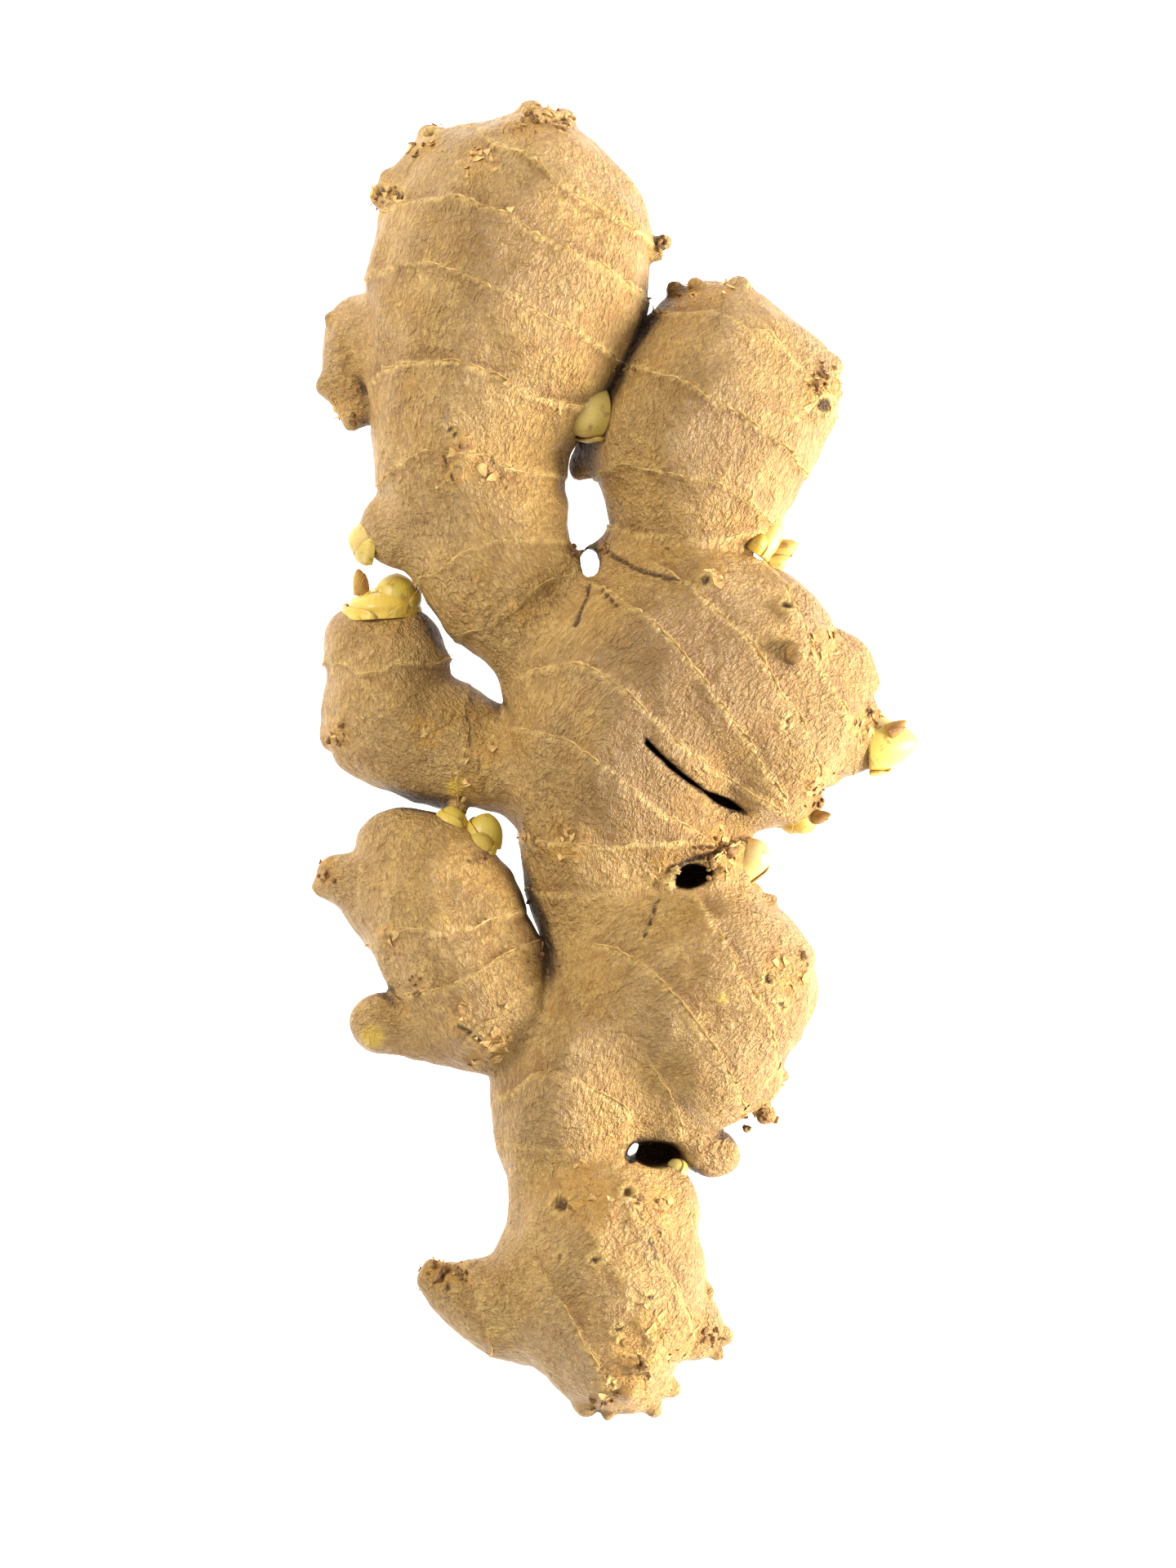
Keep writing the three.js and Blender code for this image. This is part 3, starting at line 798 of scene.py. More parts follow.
# Heights in millimetres. A layer of unevenness is (size, height, seed). An edge is where a spot starts to
# fade and where it ends, as shares of its radius.
relief = {
    "lumps": [(7.0, 0.34, 3), (3.1, 0.20, 4), (1.5, 0.11, 5)],
    "worn": [(1.3, 0.16, 12), (2.4, 0.12, 13)],
    "wornEdge": (0.5, 1.15),
    "wornUneven": [(2.6, 1.2, 9)],
    "ringWander": [(2.2, 0.30, 21), (0.9, 0.14, 22)],
    "ringAbove": 0.26,
    "ringAboveReach": 1.9,
    "ringBelow": 0.16,
    "ringBelowReach": 1.3,
    "ringLip": 0.10,
    "ringLipWidth": 0.42,
    "ringLineWidth": 0.27,
    "ringShadowReach": 0.8,
    "scarUneven": [(1.0, 0.18, 31)],
    "scarRim": 0.30,
    "scarRimWidth": 0.3,
    "scarPit": 0.38,
    "freshEdge": (0.6, 1.1),
    "freshUneven": [(1.1, 0.5, 35)],
    "dullAndShadedEdge": (0.4, 1.2),
    "dullAndShadedUneven": [(5.0, 2.2, 36)],
    "crackUneven": [(0.9, 0.14, 37)],
    "crackDepth": 0.30,
    "crackBlur": 0.06,
}


def uneven(layers):
    return sum(depth * noiseAt(vertices, size, seed) for size, depth, seed in layers)


def fromSpot(x, y, ragged):
    return np.hypot(vertices[:, 0] - x, vertices[:, 1] - y) + ragged


def spotShare(spots, edge, layers):
    share = np.zeros(len(vertices))
    ragged = uneven(layers)
    for x, y, radius, *amount in spots:
        gap = fromSpot(x, y, ragged)
        inSpot = 1 - smoothed(radius * edge[0], radius * edge[1], gap)
        share = np.maximum(share, (amount[0] if amount else 1) * inSpot)
    return share


def ringHeight(gap):
    soft = smoothed(-0.35, 0.35, gap)
    above = relief["ringAbove"] * np.exp(np.minimum(gap, 0) / relief["ringAboveReach"]) * (1 - soft)
    below = relief["ringBelow"] * np.exp(-np.maximum(gap, 0) / relief["ringBelowReach"]) * soft
    return above - below + relief["ringLip"] * np.exp(-((gap / relief["ringLipWidth"]) ** 2))


wear = spotShare(patches, relief["wornEdge"], relief["wornUneven"])
height = uneven(relief["lumps"]) + wear * uneven(relief["worn"])
wander = uneven(relief["ringWander"])
ringLine = np.zeros(len(vertices))
paintedRingShadow = np.zeros(len(vertices))
ringGaps = []
for name, strength, trace in rings:
    mine = finger == groupNames.index(name)
    gap, within = ringGap(vertices, trace)
    close = mine & (abs(gap) < 4)
    # The positive side of a ring is the side toward the finger's tip.
    if np.corrcoef(np.sign(gap[close]), grainA[close, 2])[0, 1] < 0:
        gap = -gap
    gap = gap + wander
    fade = mine * smoothed(0.0, 1.0, apart) * smoothed(0.0, 0.4, 1 - hollow)
    ends = np.where(within, 1.0, 1 - smoothed(0.2, 2.0, abs(gap)))
    fade = fade * strength * ends
    height += fade * ringHeight(gap)
    ringLine = np.maximum(ringLine, fade * np.exp(-(((gap + 0.1) / relief["ringLineWidth"]) ** 2)))
    # Painted shadow under each ring's lip, fading away from the ring.
    stain = np.exp(-np.maximum(gap - 0.1, 0) / relief["ringShadowReach"]) * smoothed(-0.1, 0.25, gap)
    paintedRingShadow = np.maximum(paintedRingShadow, fade * stain)
    ringGaps.append((gap, mine & within & (hollow < 0.3) & (apart > 0.25) & (vertices[:, 2] > 1.2)))
scarRim = np.zeros(len(vertices))
front = normals[:, 2] > -0.2
freshSpots = [(-30.2, -33.4, 1.7), (12.5, -28.6, 0.8), (24.2, -25.5, 1.2), (-20, -2.5, 1)]
# Darker, greyer skin: partly its own tone, partly painted shade where the skin turns away from the light.
dullAndShadedSpots = [
    (8, 9.5, 13, 1), (2, -2.5, 10, 0.9), (14, -24.5, 8, 0.4), (3, -29.5, 7, 0.3), (-32, 16, 5, 0.4),
    (-14, 62.5, 9, 0.5), (11, 42.5, 9, 0.5), (-1.5, 51.5, 6, 0.6),
]
cracks = [
    (0.3, [(-1.2, 25.5), (1.7, 23.9), (4.3, 22.9), (7, 22.6)]),
    (0.26, [(-3.9, 21.9), (-4.3, 20), (-5.2, 17.5), (-5.7, 16.3)]),
    (0.22, [(4.5, -16.5), (3.7, -18.7), (2.7, -21)]),
    (0.22, [(-2.4, 21), (-0.3, 18.7)]),
    (0.24, [(3, -56.7), (3.6, -58.5), (4.3, -60.6)]),
    (0.24, [(-18.8, 6.3), (-18.5, 4.5), (-18.6, 2)]),
    (0.24, [(-20, -31.8), (-18.2, -32.7), (-17, -33.7)]),
    (0.2, [(-22, -62.1), (-21.2, -64.5)]),
    (0.3, [(5.8, -13.3), (8, -12.1), (10.8, -11.1), (14, -9.9)]),
    (0.16, [(-21.1, 40.8), (-20.1, 39.8), (-19.4, 38.2)]),
    (0.12, [(-15.7, 36.9), (-14.8, 35.2), (-13.8, 33.3)]),
    (0.12, [(-21.5, 37.5), (-21, 35.5), (-20.4, 33.8)]),
]
scarRagged = uneven(relief["scarUneven"])
for x, y, radius in scars:
    gap = fromSpot(x, y, scarRagged)
    rim = front * np.exp(-(((gap - radius) / relief["scarRimWidth"]) ** 2))
    pit = front * (1 - smoothed(radius * 0.45, radius * 0.95, gap))
    height += relief["scarRim"] * rim - relief["scarPit"] * pit
    scarRim = np.maximum(scarRim, rim)
    # Painted shade in the scar pits.
    creaseShade = np.maximum(creaseShade, 0.8 * pit)
fresh = front * spotShare(freshSpots, relief["freshEdge"], relief["freshUneven"])
dullAndShaded = spotShare(dullAndShadedSpots, relief["dullAndShadedEdge"], relief["dullAndShadedUneven"])
crackRagged = uneven(relief["crackUneven"])
for width, trace in cracks:
    gap, within = ringGap(vertices, trace)
    open_ = front * within * np.exp(-(((gap + crackRagged) / (width + relief["crackBlur"])) ** 2))
    height -= relief["crackDepth"] * open_
    # Painted shade in the cracks.
    creaseShade = np.maximum(creaseShade, open_)
shaped = vertices + normals * height[:, None]
shaped[:, 2] = np.maximum(shaped[:, 2], 0)


def meshObject(name, points, faces):
    mesh = bpy.data.meshes.new(name)
    corners = [tuple(map(int, face)) for face in faces]
    mesh.from_pydata((np.asarray(points, float) * mm).tolist(), [], corners)
    mesh.polygons.foreach_set("use_smooth", np.ones(len(mesh.polygons), bool))
    thing = bpy.data.objects.new(name, mesh)
    bpy.context.scene.collection.objects.link(thing)
    return thing


def giveValues(thing, name, values):
    values = np.asarray(values, np.float32)
    if values.ndim == 2:
        layer = thing.data.attributes.new(name, "FLOAT_VECTOR", "POINT")
        layer.data.foreach_set("vector", values.reshape(-1))
    else:
        layer = thing.data.attributes.new(name, "FLOAT", "POINT")
        layer.data.foreach_set("value", values)


root = meshObject("ginger_skin", shaped, quads)
giveValues(root, "grainA", grainA)
giveValues(root, "grainB", grainB)
giveValues(root, "grainMix", grainMix)
giveValues(root, "ring", ringLine)
giveValues(root, "under", paintedRingShadow)
giveValues(root, "creaseShade", creaseShade)
giveValues(root, "wear", wear)
giveValues(root, "hollow", hollow)
giveValues(root, "scar", scarRim)
giveValues(root, "fresh", fresh)
giveValues(root, "dullAndShaded", dullAndShaded)


def put(tree, kind, inputs=None, **settings):
    node = tree.nodes.new(kind)
    for key, value in settings.items():
        setattr(node, key, value)
    x = 0
    for key, value in (inputs or {}).items():
        socket = node.inputs[key]
        if isinstance(value, bpy.types.NodeSocket):
            tree.links.new(value, socket)
            x = max(x, value.node.location.x + 200)
        else:
            socket.default_value = value
    row = sum(1 for other in tree.nodes if other is not node and abs(other.location.x - x) < 90)
    node.location = (x, -190 * row)
    return node


def mixed(tree, amount, first, second, blend="MIX"):
    node = put(tree, "ShaderNodeMix", {0: amount, 6: first, 7: second}, data_type="RGBA", blend_type=blend)
    return node.outputs[2]


def mixedValue(tree, amount, first, second):
    return put(tree, "ShaderNodeMix", {0: amount, 2: first, 3: second}, data_type="FLOAT").outputs[0]


def calc(tree, operation, *values):
    return put(tree, "ShaderNodeMath", dict(enumerate(values)), operation=operation).outputs[0]


def scaled(tree, vector, factors):
    return put(tree, "ShaderNodeVectorMath", {0: vector, 1: factors}, operation="MULTIPLY").outputs[0]


def ranged(tree, value, low, high, toLow=0.0, toHigh=1.0):
    inputs = {"Value": value, "From Min": low, "From Max": high, "To Min": toLow, "To Max": toHigh}
    return put(tree, "ShaderNodeMapRange", inputs, interpolation_type="SMOOTHSTEP").outputs[0]


def noiseNode(tree, vector, scale, detail=2.0, roughness=0.5, distortion=0.0):
    inputs = {"Vector": vector, "Scale": scale, "Detail": detail, "Roughness": roughness}
    inputs["Distortion"] = distortion
    return put(tree, "ShaderNodeTexNoise", inputs).outputs[0]


def valueOf(tree, name):
    return put(tree, "ShaderNodeAttribute", attribute_name=name).outputs["Fac"]


def vectorOf(tree, name):
    return put(tree, "ShaderNodeAttribute", attribute_name=name).outputs["Vector"]


def newGroup(name, inputs, outputs):
    group = bpy.data.node_groups.new(name, "ShaderNodeTree")
    for label, kind, value in inputs:
        socket = group.interface.new_socket(label, in_out="INPUT", socket_type=kind)
        if value is not None:
            socket.default_value = value
    for label, kind in outputs:
        group.interface.new_socket(label, in_out="OUTPUT", socket_type=kind)
    return group, group.nodes.new("NodeGroupInput")


def closeGroup(group, **values):
    end = group.nodes.new("NodeGroupOutput")
    end.location = (1600, 0)
    for label, value in values.items():
        group.links.new(value, end.inputs[label])


def useGroup(tree, group, inputs):
    node = put(tree, "ShaderNodeGroup", node_tree=group)
    for label, value in inputs.items():
        if isinstance(value, bpy.types.NodeSocket):
            tree.links.new(value, node.inputs[label])
        else:
            node.inputs[label].default_value = value
    return node


def wrinkleGroup():
    group, start = newGroup(
        "skin wrinkles",
        [
            ("Grain", "NodeSocketVector", None),
            ("Width", "NodeSocketFloat", 0.6),
            ("Stretch", "NodeSocketFloat", 5.0),
        ],
        [("Height", "NodeSocketFloat"), ("Groove", "NodeSocketFloat")],
    )
    fine = calc(group, "DIVIDE", 1.0, start.outputs["Width"])
    long_ = calc(group, "DIVIDE", fine, start.outputs["Stretch"])
    factors = put(group, "ShaderNodeCombineXYZ", {0: fine, 1: fine, 2: long_}).outputs[0]
    stretchedGrain = scaled(group, start.outputs["Grain"], factors)
    bend = put(group, "ShaderNodeTexNoise", {"Vector": stretchedGrain, "Scale": 0.55, "Detail": 3.0})
    bend = bend.outputs["Color"]
    bend = put(group, "ShaderNodeVectorMath", {0: bend, "Scale": 1.5}, operation="SCALE").outputs[0]
    bent = put(group, "ShaderNodeVectorMath", {0: stretchedGrain, 1: bend}, operation="ADD").outputs[0]
    cells = put(group, "ShaderNodeTexVoronoi", {"Vector": bent, "Scale": 0.8}, feature="DISTANCE_TO_EDGE")
    cells = cells.outputs[0]
    plates = ranged(group, cells, 0.0, 0.42)
    folds = ranged(group, noiseNode(group, bent, 0.75, 3.0, 0.62), 0.34, 0.66)
    height = calc(group, "ADD", calc(group, "MULTIPLY", folds, 0.55), calc(group, "MULTIPLY", plates, 0.45))
    closeGroup(group, Height=height, Groove=calc(group, "SUBTRACT", 1.0, height))
    return group


def blotchGroup():
    group, start = newGroup(
        "blotches",
        [
            ("Vector", "NodeSocketVector", None),
            ("Size", "NodeSocketFloat", 8.0),
            ("Softness", "NodeSocketFloat", 0.2),
        ],
        [("Amount", "NodeSocketFloat")],
    )
    scale = calc(group, "DIVIDE", 1.0, start.outputs["Size"])
    cloud = noiseNode(group, start.outputs["Vector"], scale, 4.0, 0.6, 0.6)
    low_ = calc(group, "SUBTRACT", 0.5, start.outputs["Softness"])
    high_ = calc(group, "ADD", 0.5, start.outputs["Softness"])
    closeGroup(group, Amount=ranged(group, cloud, low_, high_))
    return group


def speckGroup():
    group, start = newGroup(
        "specks",
        [
            ("Vector", "NodeSocketVector", None),
            ("Spacing", "NodeSocketFloat", 1.5),
            ("Size", "NodeSocketFloat", 0.2),
        ],
        [("Amount", "NodeSocketFloat")],
    )
    scale = calc(group, "DIVIDE", 1.0, start.outputs["Spacing"])
    bent = noiseNode(group, start.outputs["Vector"], 1.7, 2.0)
    moved = put(group, "ShaderNodeVectorMath", {0: start.outputs["Vector"], 1: bent}, operation="ADD")
    moved = moved.outputs[0]
    dots = put(group, "ShaderNodeTexVoronoi", {"Vector": moved, "Scale": scale}, feature="F1")
    chosen = put(group, "ShaderNodeSeparateColor", {0: dots.outputs["Color"]}).outputs[0]
    few = ranged(group, chosen, 0.55, 0.75)
    size = calc(group, "DIVIDE", start.outputs["Size"], start.outputs["Spacing"])
    spot = ranged(group, dots.outputs["Distance"], 0.0, size, 1.0, 0.0)
    closeGroup(group, Amount=calc(group, "MULTIPLY", spot, few))
    return group


wrinkles = wrinkleGroup()
blotches = blotchGroup()
specks = speckGroup()

rindLook = {
    "tan": (0.73, 0.44, 0.115, 1),
    "lightTan": (0.86, 0.575, 0.185, 1),
    "ochre": (0.62, 0.32, 0.065, 1),
    "grey": (0.56, 0.375, 0.16, 1),
    # Greyer skin tone, partly painted shade.
    "dullAndShaded": (0.27, 0.16, 0.052, 1),
    "stain": (0.32, 0.14, 0.03, 1),
    # Painted shade in the wrinkle grooves.
    "groove": (0.25, 0.115, 0.026, 1),
    "ring": (0.88, 0.60, 0.19, 1),
    # Painted shadow under the ring lips; also the colour of the brown specks.
    "under": (0.26, 0.12, 0.032, 1),
    # Painted shade in the creases, scar pits and cracks, and inside the hollows.
    "paintedShade": (0.07, 0.03, 0.01, 1),
    "fresh": (0.72, 0.46, 0.05, 1),
    "roughness": 0.43,
    "wrinkleSizes": ((0.50, 1.9), (0.23, 1.5)),
    "grooveShares": (0.62, 0.45),
    "patchSizes": (13.0, 4.2, 0.9),
    "greySize": 7.0,
    "speckSpacing": 1.4,
    "speckSize": 0.30,
    "wrinkleHeight": 0.36,
    "finerHeight": 0.15,
    "facetHeight": 0.24,
    "wornHeight": 0.10,
}


def wrinkleLayers(tree, look):
    grains = [vectorOf(tree, "grainA"), vectorOf(tree, "grainB")]
    share = valueOf(tree, "grainMix")
    layers = []
    for width, stretch in look["wrinkleSizes"]:
        values = {"Width": width, "Stretch": stretch}
        pair = [useGroup(tree, wrinkles, {"Grain": grain, **values}) for grain in grains]
        layers.append([mixedValue(tree, share, pair[0].outputs[n], pair[1].outputs[n]) for n in (0, 1)])
    return layers


def part(tree, mask, share):
    return calc(tree, "MULTIPLY", mask, share)


def wornAndShadedColour(tree, look, colour, stains, small, tiny):
    worn = part(tree, valueOf(tree, "wear"), ranged(tree, tiny, 0.2, 0.8, 0.15, 0.8))
    colour = mixed(tree, worn, colour, look["ochre"])
    scraped = part(tree, valueOf(tree, "wear"), ranged(tree, stains, 0.2, 0.9, 0.0, 0.6))
    colour = mixed(tree, scraped, colour, look["stain"])
    # Painted shadow under the ring lips.
    under = part(tree, valueOf(tree, "under"), ranged(tree, small, 0.1, 0.8, 0.15, 0.95))
    colour = mixed(tree, under, colour, look["under"])
    ring = part(tree, valueOf(tree, "ring"), ranged(tree, tiny, 0.1, 0.6, 0.12, 0.6))
    colour = mixed(tree, ring, colour, look["ring"])
    colour = mixed(tree, part(tree, valueOf(tree, "scar"), 0.5), colour, look["ring"])
    colour = mixed(tree, part(tree, valueOf(tree, "fresh"), 0.85), colour, look["fresh"])
    # Painted shade: the creases, scar pits and cracks are darkened in colour.
    creaseShadeShare = ranged(tree, valueOf(tree, "creaseShade"), 0.22, 0.85)
    colour = mixed(tree, part(tree, creaseShadeShare, 0.88), colour, look["paintedShade"])
    # Painted shade: the inside of the hollows is made near-black.
    return mixed(tree, part(tree, valueOf(tree, "hollow"), 0.96), colour, look["paintedShade"]), worn


def rindMaterial():
    look = rindLook
    material = bpy.data.materials.new("ginger rind")
    material.use_nodes = True
    tree = material.node_tree
    tree.nodes.clear()
    place = scaled(tree, put(tree, "ShaderNodeTexCoord").outputs["Object"], (1000, 1000, 1000))
    layers = wrinkleLayers(tree, look)
    broad, small, tiny = [
        useGroup(tree, blotches, {"Vector": place, "Size": size, "Softness": softness}).outputs[0]
        for size, softness in zip(look["patchSizes"], (0.22, 0.2, 0.2))
    ]
    speckValues = {"Vector": place, "Spacing": look["speckSpacing"], "Size": look["speckSize"]}
    dots = useGroup(tree, specks, speckValues).outputs[0]
    stains = ranged(tree, noiseNode(tree, place, 0.36, 5.0, 0.68, 0.8), 0.53, 0.64)
    strength = ranged(tree, small, 0.0, 1.0, 0.6, 1.0)
    colour = mixed(tree, broad, look["tan"], look["lightTan"])
    colour = mixed(tree, part(tree, small, 0.45), colour, look["ochre"])
    squeezed = scaled(tree, place, (1, 0.8, 1))
    greyValues = {"Vector": squeezed, "Size": look["greySize"], "Softness": 0.12}
    greyish = useGroup(tree, blotches, greyValues).outputs[0]
    colour = mixed(tree, part(tree, greyish, 0.50), colour, look["grey"])
    # Partly the skin's greyer tone, partly painted shade where the skin turns away from the light.
    dullAndShadedShare = part(tree, valueOf(tree, "dullAndShaded"), ranged(tree, broad, 0.0, 1.0, 0.9, 0.6))
    colour = mixed(tree, dullAndShadedShare, colour, look["dullAndShaded"])
    colour = mixed(tree, part(tree, tiny, 0.22), colour, look["lightTan"])
    # Painted shade: the wrinkle grooves are darkened in colour, following the bump's pattern.
    for layer, share in zip(layers, look["grooveShares"]):
        colour = mixed(tree, part(tree, layer[1], share), colour, look["groove"])
    colour = mixed(tree, part(tree, stains, 0.42), colour, look["stain"])
    colour = mixed(tree, part(tree, dots, 0.7), colour, look["under"])
    colour, worn = wornAndShadedColour(tree, look, colour, stains, small, tiny)
    facets = noiseNode(tree, place, 0.45, 3.0, 0.55, 0.4)
    facets = ranged(tree, calc(tree, "ABSOLUTE", calc(tree, "MULTIPLY_ADD", facets, 2.0, -1.0)), 0.0, 0.4)
    height = part(tree, layers[0][0], part(tree, strength, look["wrinkleHeight"]))
    height = calc(tree, "ADD", height, part(tree, layers[1][0], look["finerHeight"]))
    height = calc(tree, "ADD", height, part(tree, part(tree, tiny, look["wornHeight"]), worn))
    height = calc(tree, "ADD", height, part(tree, facets, look["facetHeight"]))
    bump = put(tree, "ShaderNodeBump", {"Strength": 1.0, "Distance": mm, "Height": height})
    rough = mixedValue(tree, small, look["roughness"] - 0.06, look["roughness"] + 0.08)
    shader = put(
        tree,
        "ShaderNodeBsdfPrincipled",
        {"Base Color": colour, "Roughness": rough, "Normal": bump.outputs[0], "Specular IOR Level": 0.45},
    )
    put(tree, "ShaderNodeOutputMaterial", {"Surface": shader.outputs[0]})
    return material


root.data.materials.append(rindMaterial())
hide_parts("ginger_root")
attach(root, "root")



print("fringes")
crumbLook = {
    "light": (0.42, 0.24, 0.09, 1),
    "dark": (0.15, 0.065, 0.02, 1),
    "roughness": 0.8,
}
paperLook = {
    "light": (0.86, 0.62, 0.25, 1),
    "dark": (0.50, 0.27, 0.08, 1),
    "roughness": 0.75,
}


def paperMaterial(name, look):
    material = bpy.data.materials.new(name)
    material.use_nodes = True
    tree = material.node_tree
    tree.nodes.clear()
    place = scaled(tree, put(tree, "ShaderNodeTexCoord").outputs["Object"], (1000, 1000, 1000))
    patchy = useGroup(tree, blotches, {"Vector": place, "Size": 1.6, "Softness": 0.2}).outputs[0]
    fibre = noiseNode(tree, scaled(tree, place, (9, 9, 3)), 1.0, 3.0, 0.6)
    colour = mixed(tree, patchy, look["light"], look["dark"])
    colour = mixed(tree, calc(tree, "MULTIPLY", fibre, 0.45), colour, look["dark"])
    bump = put(tree, "ShaderNodeBump", {"Strength": 0.8, "Distance": 0.05 * mm, "Height": fibre})
    rough = mixedValue(tree, patchy, look["roughness"] - 0.05, look["roughness"] + 0.1)
    shader = put(
        tree,
        "ShaderNodeBsdfPrincipled",
        {"Base Color": colour, "Roughness": rough, "Normal": bump.outputs[0], "Specular IOR Level": 0.3},
    )
    put(tree, "ShaderNodeOutputMaterial", {"Surface": shader.outputs[0]})
    return material


paper = paperMaterial("dry paper skin", paperLook)
triangles = np.vstack([quads[:, [0, 1, 2]], quads[:, [0, 2, 3]]])
tipward = unit(fingerAxis - normals * (fingerAxis * normals).sum(1)[:, None])


def contourChains(values, valid):
    near = valid[triangles].all(1) & (np.abs(values[triangles]).max(1) < 1.5)
    chosen = triangles[near]
    links = {}
    for tri in chosen.tolist():
        hits = []
        for a, b in ((tri[0], tri[1]), (tri[1], tri[2]), (tri[2], tri[0])):
            if (values[a] < 0) != (values[b] < 0):
                hits.append((min(a, b), max(a, b)))
        if len(hits) == 2:
            links.setdefault(hits[0], []).append(hits[1])
            links.setdefault(hits[1], []).append(hits[0])
    unused = set(links)
    chains = []
    starts = [key for key in links if len(links[key]) == 1] + list(links)
    for start in starts:
        if start not in unused:
            continue
        chain = [start]
        unused.discard(start)
        while True:
            onward = [key for key in links[chain[-1]] if key in unused]
            if not onward:
                break
            chain.append(onward[0])
            unused.discard(onward[0])
        chains.append(chain)
    return chains


def onEdges(chain, values, quantity):
    a, b = np.array(chain).T
    share = (values[a] / (values[a] - values[b]))[:, None]
    return quantity[a] * (1 - share) + quantity[b] * share


def resampled(rows, spacing):
    length = np.append(0, np.cumsum(np.linalg.norm(np.diff(rows[:, :3], axis=0), axis=1)))
    count = max(3, int(length[-1] / spacing))
    at = np.linspace(0, length[-1], count)
    return np.stack([np.interp(at, length, column) for column in rows.T], 1), length[-1]


fringe = {
    "spacing": 0.24,
    "sunk": 0.10,
    "height": 0.52,
    "lean": 0.55,
    "curl": 0.7,
    "ragged": 1900.0,
    "thickness": 0.06,
    "seed": 4.0,
}


def ringWires():
    points, outs, tips, strengths, edges = [], [], [], [], []
    start = 0
    for (name, strength, trace), (gap, valid) in zip(rings, ringGaps):
        for chain in contourChains(gap, valid):
            if len(chain) < 6:
                continue
            columns = [onEdges(chain, gap, q) for q in (shaped, normals, tipward)]
            rows, length = resampled(np.hstack(columns), fringe["spacing"])
            if length < 2.0:
                continue
            kernel = np.ones(3) / 3
            for column in range(3):
                rows[1:-1, column] = np.convolve(rows[:, column], kernel, "valid")
            out = unit(rows[:, 3:6])
            ends = np.minimum(np.arange(len(rows)), np.arange(len(rows))[::-1]) * fringe["spacing"]
            points.append(rows[:, :3] - out * fringe["sunk"])
            outs.append(out)
            tips.append(unit(rows[:, 6:9]))
            strengths.append(strength * smoothed(0, 1.2, ends))
            edges += [(start + i, start + i + 1) for i in range(len(rows) - 1)]
            start += len(rows)
    return np.vstack(points), np.vstack(outs), np.vstack(tips), np.concatenate(strengths), edges


def geometryTree(name, sockets):
    tree = bpy.data.node_groups.new(name, "GeometryNodeTree")
    tree.interface.new_socket("Geometry", in_out="INPUT", socket_type="NodeSocketGeometry")
    for label, kind in sockets:
        tree.interface.new_socket(label, in_out="INPUT", socket_type=kind)
    tree.interface.new_socket("Geometry", in_out="OUTPUT", socket_type="NodeSocketGeometry")
    return tree, tree.nodes.new("NodeGroupInput")


def named(tree, name, kind="FLOAT"):
    return put(tree, "GeometryNodeInputNamedAttribute", {"Name": name}, data_type=kind).outputs["Attribute"]


def vectorCalc(tree, operation, first, second=None, scale=None):
    inputs = {0: first}
    if second is not None:
        inputs[1] = second
    if scale is not None:
        inputs["Scale"] = scale
    return put(tree, "ShaderNodeVectorMath", inputs, operation=operation).outputs[0]


def joined(tree, *geometries):
    node = tree.nodes.new("GeometryNodeJoinGeometry")
    node.location = (max(g.node.location.x for g in geometries) + 200, 0)
    for geometry in geometries:
        tree.links.new(geometry, node.inputs[0])
    return node.outputs[0]


def thickened(tree, sheet, thickness):
    raised = put(tree, "GeometryNodeExtrudeMesh", {"Mesh": sheet, "Offset Scale": thickness}, mode="FACES")
    raised.inputs["Individual"].default_value = False
    under = put(tree, "GeometryNodeFlipFaces", {0: sheet}).outputs[0]
    both = joined(tree, raised.outputs["Mesh"], under)
    return put(tree, "GeometryNodeMergeByDistance", {"Geometry": both, "Distance": 0.0005 * mm}).outputs[0]


def endTree(tree, geometry, material):
    real = put(tree, "GeometryNodeRealizeInstances", {0: geometry}).outputs[0]
    painted = put(tree, "GeometryNodeSetMaterial", {0: real, "Material": material}).outputs[0]
    end = tree.nodes.new("NodeGroupOutput")
    end.location = (painted.node.location.x + 200, 0)
    tree.links.new(painted, end.inputs[0])


